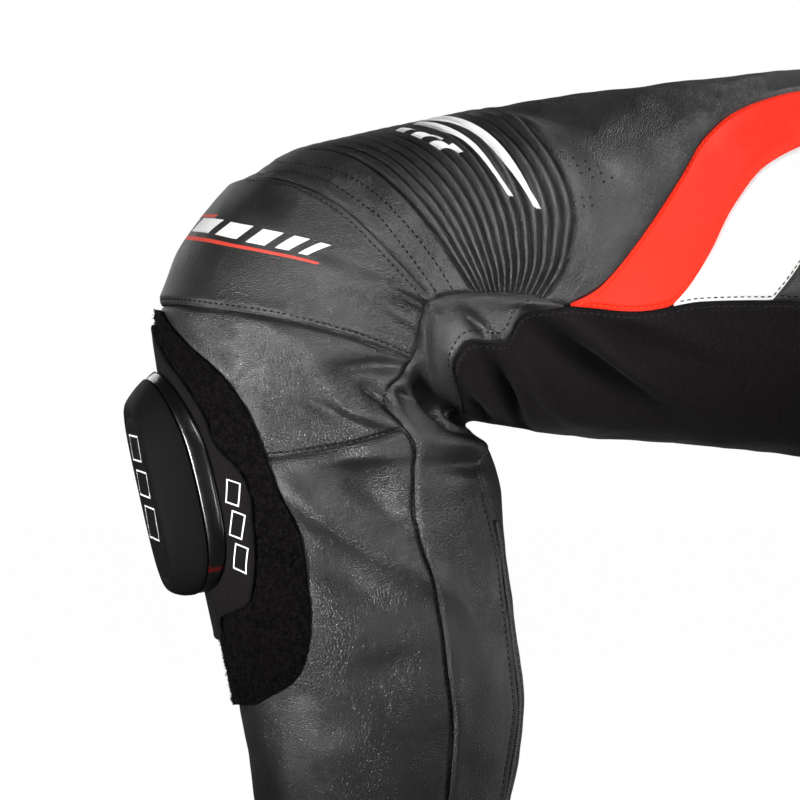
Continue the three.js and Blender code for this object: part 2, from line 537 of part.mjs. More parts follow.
const trousers = new THREE.Group();
const add = (name, geometry, material) => {
  const mesh = new THREE.Mesh(geometry, material);
  mesh.name = name;
  trousers.add(mesh);
};
for (const [name, geometry, material] of halfPanels()) {
  add(`${name}_left`, geometry, material);
  add(`${name}_right`, mirrored(geometry), material);
}
const flyInner = (along) => -middleAngle(along);
const flyOuter = (along) => flyInner(along) + THREE.MathUtils.radToDeg((2 * FLY.width) / section(along, "width"));
add("fly_flap", wall(strip(FLY.rings, flyInner, flyOuter, 2), FLY.thick, LAYER_GAP), BLACK_LEATHER);
add("waist_tab", wall(strip([WAIST_TAB.low, WAIST_TAB.high], level(WAIST_TAB.left), level(WAIST_TAB.right), 4), WAIST_TAB.thick, LAYER_GAP), BLACK_LEATHER);
add("waist_snap", snapGeometry(), ZIP_METAL);

export default trousers;
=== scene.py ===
"""The looks of a pair of worn leather motorcycle trousers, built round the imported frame.

Each half of the garment is one surface, skin(along, around). `along` runs in millimetres from the hem (0)
up the bent leg and over the hip to the waist (1130). `around` is in degrees round the leg: 0 at the front,
90 on the outer side, 180 at the back, 270 or -90 on the inner side. Sections every few centimetres give a
ring's front point, back point, middle, width and squareness; a cubic runs through each column of that
table. A ring is a superellipse stretched between its front and back points. Folds, pleats, seams and
padding are heights in millimetres added along the skin's outward normal. The right half is the left one
mirrored in X. Panels are grids on that surface between their seams, closed with an inner face and rims.
"""
import math

import bpy
import numpy as np
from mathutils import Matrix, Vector


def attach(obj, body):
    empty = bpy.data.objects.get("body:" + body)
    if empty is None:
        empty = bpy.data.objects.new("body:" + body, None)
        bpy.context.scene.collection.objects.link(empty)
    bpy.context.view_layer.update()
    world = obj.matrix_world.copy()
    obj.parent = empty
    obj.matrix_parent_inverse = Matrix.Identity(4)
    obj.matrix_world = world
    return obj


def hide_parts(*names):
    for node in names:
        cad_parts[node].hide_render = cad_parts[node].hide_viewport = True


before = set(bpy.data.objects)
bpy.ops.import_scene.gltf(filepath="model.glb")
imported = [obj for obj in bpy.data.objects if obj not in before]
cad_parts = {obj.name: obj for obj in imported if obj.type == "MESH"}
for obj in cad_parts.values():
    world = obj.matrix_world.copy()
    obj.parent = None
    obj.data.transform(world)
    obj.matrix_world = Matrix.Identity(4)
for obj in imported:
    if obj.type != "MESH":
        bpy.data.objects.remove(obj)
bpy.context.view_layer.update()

# ---- Sizes, in millimetres unless a name says otherwise ----
MM = 0.001
LEATHER = 2.0
STRETCH = 1.6
SHIN_TOP = 383
KNEE_LOW_TOP = 447
KNEE_CAP_TOP = 501
KNEE_BAND_TOP = 538
PLEATS_TOP = 591
GUSSET_TOP = 603
FORK = 605  # the gusset's two seams meet here and go on as the thigh seam
RED_TIP = 607
WHITE_FORK = 670
WHITE_TIP = 672
HIP_FORK = 730
HIP_TIP = 733
ZIP_TOP = 312
CALF_TOP = 400
GROIN = 860
CROTCH = 885
WAIST_SEAM = 1095
WAIST_TOP = 1130
ZIP_DEGREES = 6
PLEATS = 14
PLEAT_HEIGHT = 3.0
STITCH_PITCH = 3.6
HOLE_PITCH = 4.7
LOOP_COUNT = 4000
PILE_ENDS = (198, 403)
FLAP_ENDS = (244, 399)
FINE = 2.8  # grid spacing on the left half
COARSE = 6.0  # and on the right half

# along, front y, front z, back y, back z, middle x, width, squareness
SECTIONS = [
    (0, -453, -588, -351, -573, 118, 100, 2.1),  # hem
    (60, -461, -536, -337, -518, 119, 112, 2.1),
    (150, -472, -459, -321, -435, 122, 128, 2.2),
    (220, -482, -408, -325, -390, 125, 136, 2.3),  # calf
    (280, -493, -357, -331, -346, 128, 138, 2.3),
    (330, -502, -313, -334, -311, 131, 140, 2.3),
    (362, -510, -277, -338, -292, 133, 142, 2.3),
    (385, -517, -244, -343, -282, 135, 144, 2.3),  # below the knee
    (405, -520, -205, -349, -277, 136, 146, 2.3),
    (425, -505, -173, -352, -273, 136, 147, 2.3),  # knee cap
    (445, -481, -139, -352, -271, 136, 148, 2.3),
    (470, -451, -124, -348, -270, 135, 149, 2.3),
    (500, -417, -115, -341, -271, 134, 151, 2.3),  # pleats start
    (540, -376, -106, -327, -273, 132, 154, 2.3),
    (580, -338, -98, -310, -276, 130, 158, 2.3),  # pleats end
    (620, -301, -91, -280, -279, 127, 162, 2.3),
    (700, -230, -82, -213, -284, 120, 170, 2.3),  # thigh
    (780, -158, -74, -135, -294, 110, 180, 2.3),
    (840, -110, -71, -54, -311, 100, 190, 2.2),  # groin
    (885, -95, -69, 23, -316, 97, 194, 2.2),
    (925, -91, -63, 88, -287, 80, 222, 2.2),
    (965, -92, -61, 128, -230, 60, 260, 2.2),  # seat
    (1005, -95, -58, 142, -170, 40, 298, 2.2),
    (1050, -100, -54, 140, -98, 20, 330, 2.2),  # hip
    (1095, -106, -48, 126, -18, 6, 336, 2.15),
    (1130, -112, -23, 112, 23, 0, 330, 2.1),  # waist
]

# Seams that run up the leg: along, around.
SIDE_SEAM_FRONT = [
    (0, 118), (180, 118), (250, 119), (312, 115), (340, 116), (373, 120), (402, 115), (436, 120),
    (457, 117), (473, 111), (484, 105), (499, 99), (538, 98), (574, 99), (591, 101), (605, 104),
]
SIDE_SEAM_BACK = [
    (0, 156), (215, 157), (282, 159), (312, 154), (331, 151), (346, 149), (364, 156), (379, 163),
    (400, 166), (425, 163), (447, 157), (465, 147), (476, 138), (485, 128), (500, 121), (518, 116),
    (542, 117), (556, 115), (572, 107), (587, 105), (605, 104),
]
THIGH_SEAM = [
    (605, 104), (651, 106), (690, 103), (780, 102), (860, 102), (925, 104), (1010, 108), (1095, 110),
]
STRIPE_FRONT = [
    (605, 104), (627, 98), (652, 85), (683, 65), (697, 54), (720, 42), (760, 34), (820, 32), (900, 36),
    (1000, 42), (1095, 46),
]
STRIPE_MIDDLE = [
    (670, 105), (683, 98), (697, 88), (712, 75), (735, 62), (775, 54), (830, 52), (900, 55),
    (1000, 60), (1095, 62),
]
STRIPE_BACK = [
    (730, 103), (742, 96), (756, 87), (775, 79), (810, 73), (860, 71), (930, 73), (1010, 76), (1095, 78),
]

# Seams that cross the front of the leg: around, along.
SHIN_SEAM = [(0, 346), (40, 350), (67, 355), (84, 360), (96, 365), (110, 375), (119, 383)]
CAP_SEAM = [(0, 404), (20, 405), (45, 409), (61, 414), (77, 421), (94, 429), (109, 438), (119, 447)]
CAP_TOP = [(0, 446), (27, 455), (43, 466), (58, 477), (73, 485), (84, 491), (93, 497), (99, 501)]
BAND_LINE_LOW = [(0, 455), (23, 457), (36, 470), (47, 479), (58, 488), (65, 494), (78, 499), (98, 508)]
BAND_LINE_HIGH = [(0, 462), (21, 467), (33, 476), (43, 487), (54, 497), (63, 503), (78, 512), (98, 522)]
PLEAT_START = [(0, 468), (15, 478), (29, 490), (41, 501), (57, 512), (72, 522), (86, 530), (98, 538)]
PLEAT_END = [
    (0, 564), (20, 579), (35, 592), (50, 604), (64, 613), (74, 615), (82, 612), (92, 605), (101, 591),
]

# The knee slider's loop pad and flap: along, around.
PILE_INNER = [(198, -8), (215, -32), (250, -44), (300, -46), (350, -42), (385, -32), (403, -20)]
PILE_OUTER = [
    (198, 36), (211, 55), (227, 64), (253, 69), (279, 71), (306, 71), (331, 68), (354, 65), (369, 63),
    (382, 60), (391, 52), (397, 38), (403, 20),
]
FLAP_INNER = [(244, 0), (262, -18), (285, -34), (320, -36), (350, -34), (375, -24), (399, -8)]
FLAP_OUTER = [
    (244, 22), (259, 27), (265, 44), (274, 49), (294, 53), (319, 55), (337, 56), (350, 53), (360, 46),
    (375, 43), (386, 34), (393, 20), (399, 9),
]

# Folds: along, around, half length, half width, turn from up the leg towards round it in degrees, and
# height (below 0 is a hollow).
FOLDS = [
    (420, 106, 26, 4.0, 43, -3.5),  # hollow under the cap seam, and the lip round it
    (400, 94, 13, 5.0, 145, 2.5),
    (405, 110, 9, 7.1, 138, -5),  # oval hollow beside the gusset
    (387, 104, 13, 5.3, 98, 4),  # ridge above the shin seam, and the trough in front of it
    (384, 92, 13, 5.0, 107, -3),
    (382, 76, 18, 3.3, 95, 1.5),
    (414, 80, 12, 4.8, 83, 1.5),
    (487, 99, 12, 2.9, 35, -3.5),  # crease where the cap meets the gusset
    (486, 94, 17, 3.6, 23, 2.5),
    (469, 102, 14, 5.0, 39, 2),
    (467, 82, 20, 4.3, 46, -1.2),
    (455, 84, 19, 5.6, 62, 1.2),
    (334, 100, 25, 12.7, 160, -7),  # the shin's large hollow, and the ridge that runs down beside it
    (326, 78, 24, 8.5, 140, 4.5),
    (290, 103, 35, 8.8, 137, 4.5),
    (282, 85, 32, 11.7, 141, -3),
    (308, 110, 7, 6.7, 64, 2),
    (216, 98, 16, 12.2, 83, -2),
    (358, 100, 22, 3.9, 76, 1.5),
    (422, 138, 20, 7.7, 143, -16),  # the deep pocket behind the knee, and the roll under it
    (436, 155, 20, 12.0, 99, -6),
    (378, 141, 24, 9.6, 86, 4),
    (357, 137, 24, 6.2, 82, -3),
    (343, 135, 11, 11.1, 73, 2.5),
    (274, 125, 27, 5.0, 169, 1.8),
    (276, 132, 26, 4.3, 166, -1),
    (415, 122, 6, 4.4, 136, -3.5),
    (404, 118, 9, 3.4, 161, 2.5),
    (530, 109, 13, 4.6, 33, -3),
    (471, 116, 25, 4.1, 141, 2),
    (574, 102, 21, 3.1, 2, 2),
    (619, 124, 40, 6.0, 30, -6.5),  # slanting folds of the stretch cloth
    (630, 120, 38, 5.1, 27, 4.5),
    (580, 134, 33, 7.5, 44, 3.5),
    (544, 141, 26, 9.6, 72, -6),
    (554, 142, 23, 8.7, 68, 2.5),
    (491, 156, 21, 9.0, 86, -3),
    (652, 114, 35, 4.6, 13, -2.5),
    (662, 112, 31, 4.6, 13, 2),
    (424, 0, 60, 12, 90, 2.1),  # the padded knee cap bulges low and rounds off above
    (453, 0, 50, 9, 90, -2.0),
    (592, 36, 28, 4.6, 35, 1.8),  # soft rises on the thigh
    (616, 35, 32, 5.2, 32, -1.5),
    (634, 58, 23, 5.8, 40, 2),
    (624, 74, 17, 7.1, 64, -1.2),
]
# Where the hide is finely wrinkled: along, around, reach in mm, strength.
WRINKLES = [
    (478, 97, 28, 0.8), (455, 108, 22, 0.7), (505, 88, 26, 0.7), (404, 103, 22, 0.8), (335, 135, 34, 0.8),
    (612, 96, 22, 0.8), (372, 112, 16, 0.4), (296, 132, 32, 0.6), (880, 92, 50, 0.7), (900, -60, 60, 0.7),
    (880, 200, 70, 0.6), (562, 92, 26, 0.6), (562, -92, 26, 0.6), (520, 60, 30, 0.35), (478, -97, 28, 0.8),
    (404, -100, 24, 0.7), (612, -96, 22, 0.7), (330, 138, 26, 0.4),
]
MM_PER_DEGREE = 1.3
FULL_SHADE_FOLD_DEPTH = 7  # folds this deep get the full painted shade on the woven cloths
FOLD_DEPTH = 1.7  # the folds of the cloth are deeper than the facets of the frame


def smooth(rows, x):
    """A cubic through the rows of a table, whose slopes come from the rows on either side."""
    table = np.asarray(rows, float)
    at, values = table[:, 0], table[:, 1:]
    slopes = np.empty_like(values)
    slopes[1:-1] = (values[2:] - values[:-2]) / (at[2:] - at[:-2])[:, None]
    slopes[0] = (values[1] - values[0]) / (at[1] - at[0])
    slopes[-1] = (values[-1] - values[-2]) / (at[-1] - at[-2])
    x = np.asarray(x, float)
    i = np.clip(np.searchsorted(at, x, side="right") - 1, 0, len(at) - 2)
    step = (at[i + 1] - at[i])[..., None]
    t = np.clip((x - at[i])[..., None] / step, 0, 1)
    start = values[i] * (1 + 2 * t) * (1 - t) ** 2 + slopes[i] * step * t * (1 - t) ** 2
    end = values[i + 1] * t * t * (3 - 2 * t) + slopes[i + 1] * step * t * t * (t - 1)
    both = start + end
    return both[..., 0] if both.shape[-1] == 1 else both


def ring(along, around):
    """A point of the skin: a superellipse's point, stretched by half the ring's width and by half the way
    from its back point to its front point, about the ring's middle."""
    along, around = np.broadcast_arrays(np.asarray(along, float), np.asarray(around, float))
    front_y, front_z, back_y, back_z, middle_x, width, square = np.moveaxis(smooth(SECTIONS, along), -1, 0)
    c = np.cos(np.radians(around))
    s = np.sin(np.radians(around))
    reach = (np.abs(c) ** square + np.abs(s) ** square) ** (-1 / square)
    x = middle_x + reach * s * width / 2
    y = (front_y + back_y) / 2 + reach * c * (front_y - back_y) / 2
    z = (front_z + back_z) / 2 + reach * c * (front_z - back_z) / 2
    return np.stack([x, y, z], -1)


def unit(v):
    """A vector over its length."""
    return v / np.maximum(np.linalg.norm(v, axis=-1, keepdims=True), 1e-12)


UP_STEP = 3  # how far up the leg, in mm, and round it, in degrees, a slope is taken
ROUND_STEP = 2


def outward(along, around):
    """The skin's unit normal: the way round the leg crossed with the way up it."""
    along = np.asarray(along, float)
    above, below = np.minimum(along + UP_STEP, WAIST_TOP), np.maximum(along - UP_STEP, 0)
    side = ring(along, around + ROUND_STEP) - ring(along, around - ROUND_STEP)
    return unit(np.cross(side, ring(above, around) - ring(below, around)))


def fold_height(along, around):
    """The sum of the folds, each a long bell: its rise times e to the minus squared distances."""
    height = np.zeros(np.broadcast(along, around).shape)
    for at_along, at_around, length, width, turn, rise in FOLDS:
        angle = math.radians(turn)
        up = along - at_along
        side = (around - at_around) * MM_PER_DEGREE
        lengthwise = up * math.cos(angle) + side * math.sin(angle)
        crosswise = -up * math.sin(angle) + side * math.cos(angle)
        share = np.exp(-((lengthwise / length) ** 2) - (crosswise / width) ** 2)
        height = height + rise * FOLD_DEPTH * share
    return height


def wrinkled(along, around):
    """How finely wrinkled the hide is: the strongest of round bells about the listed places."""
    amount = np.zeros(np.broadcast(along, around).shape)
    for at_along, at_around, reach, strength in WRINKLES:
        distance = np.hypot(along - at_along, (around - at_around) * MM_PER_DEGREE)
        amount = np.maximum(amount, strength * np.exp(-((distance / reach) ** 2)))
    return amount


WAVE_COUNT = 22


def soft_noise(points, size):
    """A sum of plane waves of about `size` mm in random directions, mostly between -1 and 1. It depends on
    the place alone, so it runs on from one panel to the next."""
    waves = np.random.default_rng(int(size * 10))
    directions = unit(waves.normal(size=(WAVE_COUNT, 3)))
    lengths = size * waves.uniform(0.7, 1.6, WAVE_COUNT)
    starts = waves.uniform(0, 2 * math.pi, WAVE_COUNT)
    phases = points @ (directions * (2 * math.pi / lengths)[:, None]).T + starts
    return np.sin(phases).sum(-1) * math.sqrt(2 / WAVE_COUNT) / 1.6


# ---- Panels ----
def seam(rows):
    """A seam through a table's rows: around from along up the leg, or along from around across it."""
    return lambda where: smooth(rows, where)


def forked(fork, below, above):
    """A seam that follows one seam up to the fork and another past it."""
    return lambda along: np.where(along <= fork, below(along), above(along))


def inner(line):
    """The same seam on the leg's inner side."""
    return lambda along: 360 - line(along)


side_front = seam(SIDE_SEAM_FRONT)
side_back = seam(SIDE_SEAM_BACK)
thigh_seam = seam(THIGH_SEAM)
stripe_front = forked(FORK, side_front, seam(STRIPE_FRONT))
stripe_middle = forked(WHITE_FORK, thigh_seam, seam(STRIPE_MIDDLE))
stripe_back = forked(HIP_FORK, thigh_seam, seam(STRIPE_BACK))
back_seam = forked(FORK, side_back, thigh_seam)


def middle_angle(along):
    """Where a ring meets the garment's middle plane: 90 below the crotch, falling to 0 at the waist."""
    values = smooth(SECTIONS, along)
    middle_x, width, square = values[..., 4], values[..., 5], values[..., 6]
    share = np.clip(2 * middle_x / width, 0, 1)
    angle = np.degrees(np.arctan2(share, np.maximum(1 - share**square, 0) ** (1 / square)))
    return np.where((np.asarray(along) <= CROTCH) | (share >= 1), 90, angle)


def front_edge(along):
    """The garment's middle plane, in front."""
    return -middle_angle(along)


def back_edge(along):
    """The garment's middle plane, behind."""
    return 180 + middle_angle(along)


def zip_edge(along):
    """The zip strip's back edge."""
    return side_back(along) + ZIP_DEGREES


def front_side(along):
    """The inner side's front seam, which mirrors the outer one."""
    return -side_front(along)


def thigh_side(along):
    """The inner side's thigh seam, which mirrors the outer one."""
    return -thigh_seam(along)


front_middle = forked(GROIN, thigh_side, front_edge)
back_middle = forked(GROIN, inner(thigh_seam), back_edge)


def mix(a, b, t):
    """From a at t = 0 to b at t = 1, in a straight line."""
    return a + (b - a) * t


def strip(low, high, left, right):
    """A panel between two seams that run up the leg, as a map from (u, v) to (along, around)."""

    def place(u, v):
        along = mix(low, high, v)
        return along, mix(left(along), right(along), u)

    return place


def crossing(low, high, left, right, lower, upper):
    """A panel across the front of the leg, between two seams that cross it and its two side seams."""

    def place(u, v):
        flat = mix(low, high, v)
        low_around = mix(left(low), right(low), u)
        high_around = mix(left(high), right(high), u)
        corners = mix(mix(left(low), left(high), v), mix(right(low), right(high), v), u)
        around = mix(low_around, high_around, v) + mix(left(flat), right(flat), u) - corners
        drop = (1 - v) * (lower(np.abs(low_around)) - low) + v * (upper(np.abs(high_around)) - high)
        return flat + drop, around

    return place


def level(value):
    """A seam that stays at one value, up the leg or round it."""
    return lambda where: np.full(np.shape(where), float(value))


# Distances from an edge at which a grid has a line, in mm: close where the cloth turns down into a seam.
EDGE_STEPS = [0, 0.35, 0.8, 1.4, 2.1, 2.9, 3.6, 4.1, 4.6, 5.2, 6.2, 7.6]
CLOSE_SPACING = FINE * 1.4  # coarser grids take every other step


def grid_lines(length, spacing, lines=None):
    """Shares from 0 to 1 along a panel of this length, dense near both ends."""
    if lines:
        return np.linspace(0, 1, lines)
    steps = EDGE_STEPS if spacing <= CLOSE_SPACING else EDGE_STEPS[::2]
    near = [step for step in steps if step < length * 0.45]
    inside = np.arange(near[-1] + spacing, length - near[-1] - spacing * 0.5, spacing)
    both = np.concatenate([near, inside, length - np.array(near[::-1])])
    return np.unique(np.clip(both / length, 0, 1))


def run(points, axis):
    """Distance walked along a grid's lines from its first row or column."""
    steps = np.linalg.norm(np.diff(points, axis=axis), axis=-1)
    walked = np.cumsum(steps, axis=axis)
    return np.concatenate([np.zeros_like(np.take(walked, [0], axis)), walked], axis)


class Patch:
    """A panel's grid, with its distances from each edge in mm."""

    def __init__(self, place, spacing, v_lines=None):
        probe = np.linspace(0, 1, 25)
        along, around = place(probe[None, :], probe[:, None])
        points = ring(along, around)
        self.width = run(points, 1)[:, -1].max()
        self.length = run(points, 0)[-1].max()
        corner = points[:-1, :-1]
        cells = np.cross(points[1:, :-1] - corner, points[:-1, 1:] - corner)
        self.area = float(np.linalg.norm(cells, axis=-1).sum()) * MM**2
        u = grid_lines(run(points, 1)[:, -1].mean(), spacing)[None, :]
        v = grid_lines(run(points, 0)[-1].mean(), spacing, v_lines)[:, None]
        self.u, self.v = np.broadcast_arrays(u, v)
        self.along, self.around = place(self.u, self.v)
        self.skin = ring(self.along, self.around)
        self.normal = outward(self.along, self.around)
        across_run, up_run = run(self.skin, 1), run(self.skin, 0)
        self.edges = {
            "left": across_run, "right": across_run[:, -1:] - across_run,
            "low": up_run, "high": up_run[-1:] - up_run,
        }
        self.middle = across_run - across_run[:, -1:] / 2


def bell(distance, width):
    """e to the minus square of the distance over the width."""
    return np.exp(-((distance / width) ** 2))


def seam_roll(patch, depth=1.5, reach=1.7, swell=0.5, flush=()):
    """The cloth turns down into the seam on each edge that isn't flush, and swells a little beside it."""
    nearest = np.minimum.reduce([distance for name, distance in patch.edges.items() if name not in flush])
    return swell * bell(nearest - 2.8 * reach, 2.2 * reach) - depth * bell(nearest, reach)


CREASE_HEIGHT = 0.45


def creases(patch):
    """Broad soft waves, with a third as much of finer ones."""
    return CREASE_HEIGHT * soft_noise(patch.skin, 38) + 0.35 * CREASE_HEIGHT * soft_noise(patch.skin, 14)


def mesh_object(name, vertices, quads, material, uv=None, marks=None):
    """A mesh from arrays: vertices in metres, faces as rows of corner numbers."""
    mesh = bpy.data.meshes.new(name)
    mesh.vertices.add(len(vertices))
    mesh.vertices.foreach_set("co", np.ascontiguousarray(vertices, np.float32).ravel())
    size = quads.shape[1]
    mesh.loops.add(quads.size)
    mesh.loops.foreach_set("vertex_index", np.ascontiguousarray(quads, np.int32).ravel())
    mesh.polygons.add(len(quads))
    mesh.polygons.foreach_set("loop_start", np.arange(0, quads.size, size, dtype=np.int32))
    mesh.update(calc_edges=True)
    if uv is not None:
        layer = mesh.uv_layers.new(name="cloth")
        layer.data.foreach_set("uv", np.ascontiguousarray(uv[quads.ravel()], np.float32).ravel())
    for mark, values in (marks or {}).items():
        amount = mesh.attributes.new(mark, "FLOAT", "POINT")
        amount.data.foreach_set("value", np.ascontiguousarray(values, np.float32))
    mesh.polygons.foreach_set("use_smooth", np.full(len(quads), True))
    mesh.materials.append(material)
    mesh.validate()
    piece = bpy.data.objects.new(name, mesh)
    bpy.context.scene.collection.objects.link(piece)
    return piece


def grid_faces(rows, columns, start=0):
    """Four-cornered faces of a grid whose points run row by row from the start number."""
    corner = start + np.arange(rows * columns).reshape(rows, columns)
    faces = np.stack([corner[:-1, :-1], corner[:-1, 1:], corner[1:, 1:], corner[1:, :-1]], -1)
    return faces.reshape(-1, 4)


def mirror(vertices, faces, side):
    """The left half as it is; for the right half X changes sign and each face is turned round."""
    if side > 0:
        return vertices, faces
    return vertices * np.array([-1, 1, 1]), faces[:, ::-1]


SEAM_GAP = 0.15


def draw_in(points):
    """Moves the grid's edges inwards by the seam gap, so that neighbours stay apart."""
    points = points.copy()
    every = slice(None)
    for edge, beside in (((every, 0), (every, 1)), ((every, -1), (every, -2)), ((0,), (1,)), ((-1,), (-2,))):
        points[edge] += unit(points[beside] - points[edge]) * SEAM_GAP
    return points


def shell(name, patch, height, thick, lift, material, side):
    """A closed wall: outer face at lift + thick + height over the skin, inner face at lift, and rims."""
    folds = fold_height(patch.along, patch.around)
    outer = draw_in(patch.skin + patch.normal * (lift + thick + folds + height)[..., None])
    lining = draw_in(patch.skin + patch.normal * (lift + folds)[..., None])
    rows, columns = patch.u.shape
    count = rows * columns
    vertices = np.concatenate([outer.reshape(-1, 3), lining.reshape(-1, 3)]) * MM
    faces = [grid_faces(rows, columns), grid_faces(rows, columns, count)[:, ::-1]]
    corner = np.arange(count).reshape(rows, columns)
    for edge in (corner[0, ::-1], corner[-1], corner[:, 0], corner[::-1, -1]):
        faces.append(np.stack([edge[:-1], edge[1:], edge[1:] + count, edge[:-1] + count], -1))
    vertices, faces = mirror(vertices, np.concatenate(faces), side)
    uv = np.stack([patch.middle, patch.edges["low"]], -1).reshape(-1, 2) * MM
    wrinkle = wrinkled(patch.along, patch.around)
    # how deep each fold is, from 0 to 1: the woven cloths paint shade by it
    hollow = np.clip(-folds / FULL_SHADE_FOLD_DEPTH, 0, 1)
    marks = {"wrinkle": np.tile(wrinkle.ravel(), 2), "hollow": np.tile(hollow.ravel(), 2)}
    patch.outer = outer
    return mesh_object(name, vertices, faces, material, np.tile(uv, (2, 1)), marks)


# ---- Stitches and teeth ----
def level_line(patch, field, target, axis):
    """Points and normals of the panel's outer face where a field first passes a value along each line."""
    gap = np.moveaxis(field - target, axis, 0)
    points = np.moveaxis(patch.outer, axis, 0)
    normals = np.moveaxis(patch.normal, axis, 0)
    crossed = (gap[:-1] <= 0) != (gap[1:] <= 0)
    found = crossed.any(0)
    i = crossed.argmax(0)[found]
    j = np.arange(gap.shape[1])[found]
    t = (gap[i, j] / (gap[i, j] - gap[i + 1, j]))[:, None]
    return mix(points[i, j], points[i + 1, j], t), unit(mix(normals[i, j], normals[i + 1, j], t))


def edge_line(patch, edge, distance):
    """The line on the outer face that stays this far from an edge."""
    return level_line(patch, patch.edges[edge], distance, 0 if edge in ("low", "high") else 1)


def evenly(points, normals, pitch):
    """Places a pitch apart along a line: where, which way the line runs, and its normal there."""
    walked = np.concatenate([[0], np.cumsum(np.linalg.norm(np.diff(points, axis=0), axis=-1))])
    at = np.arange(pitch, walked[-1] - pitch, pitch)

    def pick(values, where):
        return np.stack([np.interp(where, walked, values[:, k]) for k in range(3)], -1)

    ahead = unit(pick(points, at + 0.4) - pick(points, at - 0.4))
    normal = pick(normals, at)
    normal = unit(normal - ahead * (normal * ahead).sum(-1, keepdims=True))
    return pick(points, at), ahead, normal


# Rings of a small bar: place along it, size, and rise, as shares of its half length, width and height.
BEAD_RINGS = [
    (-1.0, 0.25, -0.9), (-0.7, 0.85, -0.1), (0.0, 1.0, 0.25), (0.7, 0.85, -0.1), (1.0, 0.25, -0.9),
]
BEAD_SIDES = 6
TUFT_RINGS = [(-1.0, 0.6, 0.0), (0.2, 1.0, 0.0), (1.0, 0.5, 0.0)]


def beads(name, places, ahead, normal, size, material, side, shape=BEAD_RINGS, sides=BEAD_SIDES):
    """One mesh of small rounded bars, such as stitches or zip teeth. Each dips at both ends."""
    length, width, height = size
    turn = np.arange(sides) / sides * 2 * math.pi
    across_way = np.cross(ahead, normal)
    rings = []
    for t, share, rise in shape:
        middle = places + ahead * (t * length / 2) + normal * (rise * height)
        for angle in turn:
            sideways = across_way * (share * width / 2 * math.cos(angle))
            rings.append(middle + sideways + normal * (share * height / 2 * math.sin(angle)))
    vertices = np.stack(rings, 1)
    one = np.arange(len(shape) * sides).reshape(-1, sides)
    turned = np.roll(one, -1, 1)
    faces = np.stack([one[:-1], turned[:-1], turned[1:], one[1:]], -1).reshape(-1, 4)
    ends = np.array([[0, 1, 2, 3], [0, 3, 4, 5]][: sides // 2 - 1])
    last = ends[:, ::-1] + (len(shape) - 1) * sides
    faces = np.concatenate([faces[:, ::-1], ends, last])
    count = len(places)
    all_faces = (faces[None] + (np.arange(count) * one.size)[:, None, None]).reshape(-1, 4)
    piece = mesh_object(name, *mirror(vertices.reshape(-1, 3) * MM, all_faces, side), material)
    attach(piece, "trousers")
    return piece


TUFT_SIZE = (1.5, 0.3, 0.3)
STITCH_SIZE = (STITCH_PITCH * 0.74, 0.85, 0.55)


def tufts(name, points, normals, side, seed):
    """Short hairs that stand at places on a brushed cloth, each leaning its own way."""
    random = np.random.default_rng(seed)
    lean = unit(normals + random.normal(size=points.shape) * 0.55)
    sideways = unit(np.cross(lean, random.normal(size=points.shape)))
    piece = beads(name, points + lean * 0.35, lean, sideways, TUFT_SIZE, LOOP_HAIR, side, TUFT_RINGS, 4)


def stitch(name, lines, side, material):
    """Stitches along lines on the cloth, each line as its points and normals."""
    parts = [evenly(points, normals, STITCH_PITCH) for points, normals in lines]
    places, ahead, normal = (np.concatenate([part[k] for part in parts]) for k in range(3))
    shape, sides = (BEAD_RINGS, BEAD_SIDES) if side > 0 else (BEAD_RINGS[::2], 4)
    piece = beads(name, places, ahead, normal, STITCH_SIZE, material, side, shape, sides)


# ---- Materials ----
def math_step(operation, swapped=False):
    """A method that adds one Math node for the value and, where the operation takes one, another value."""

    def step(self, *others):
        values = (self, *others)[::-1] if swapped else (self, *others)
        return self.shader.node("ShaderNodeMath", {"operation": operation}, dict(enumerate(values)))

    return step


class Socket:
    """A shader value that can be added, multiplied and so on, each step making a Math node."""

    def __init__(self, shader, socket):
        self.shader, self.socket = shader, socket

    __add__ = math_step("ADD")
    __radd__ = math_step("ADD", True)
    __sub__ = math_step("SUBTRACT")
    __rsub__ = math_step("SUBTRACT", True)
    __mul__ = math_step("MULTIPLY")
    __rmul__ = math_step("MULTIPLY", True)
    __truediv__ = math_step("DIVIDE")
    __pow__ = math_step("POWER")
    below = math_step("LESS_THAN")
    magnitude = math_step("ABSOLUTE")
    max = math_step("MAXIMUM")

    def repeat(self, period):
        """How far into its period the value is, from 0 to 1."""
        return math_step("FRACT")(self / period)


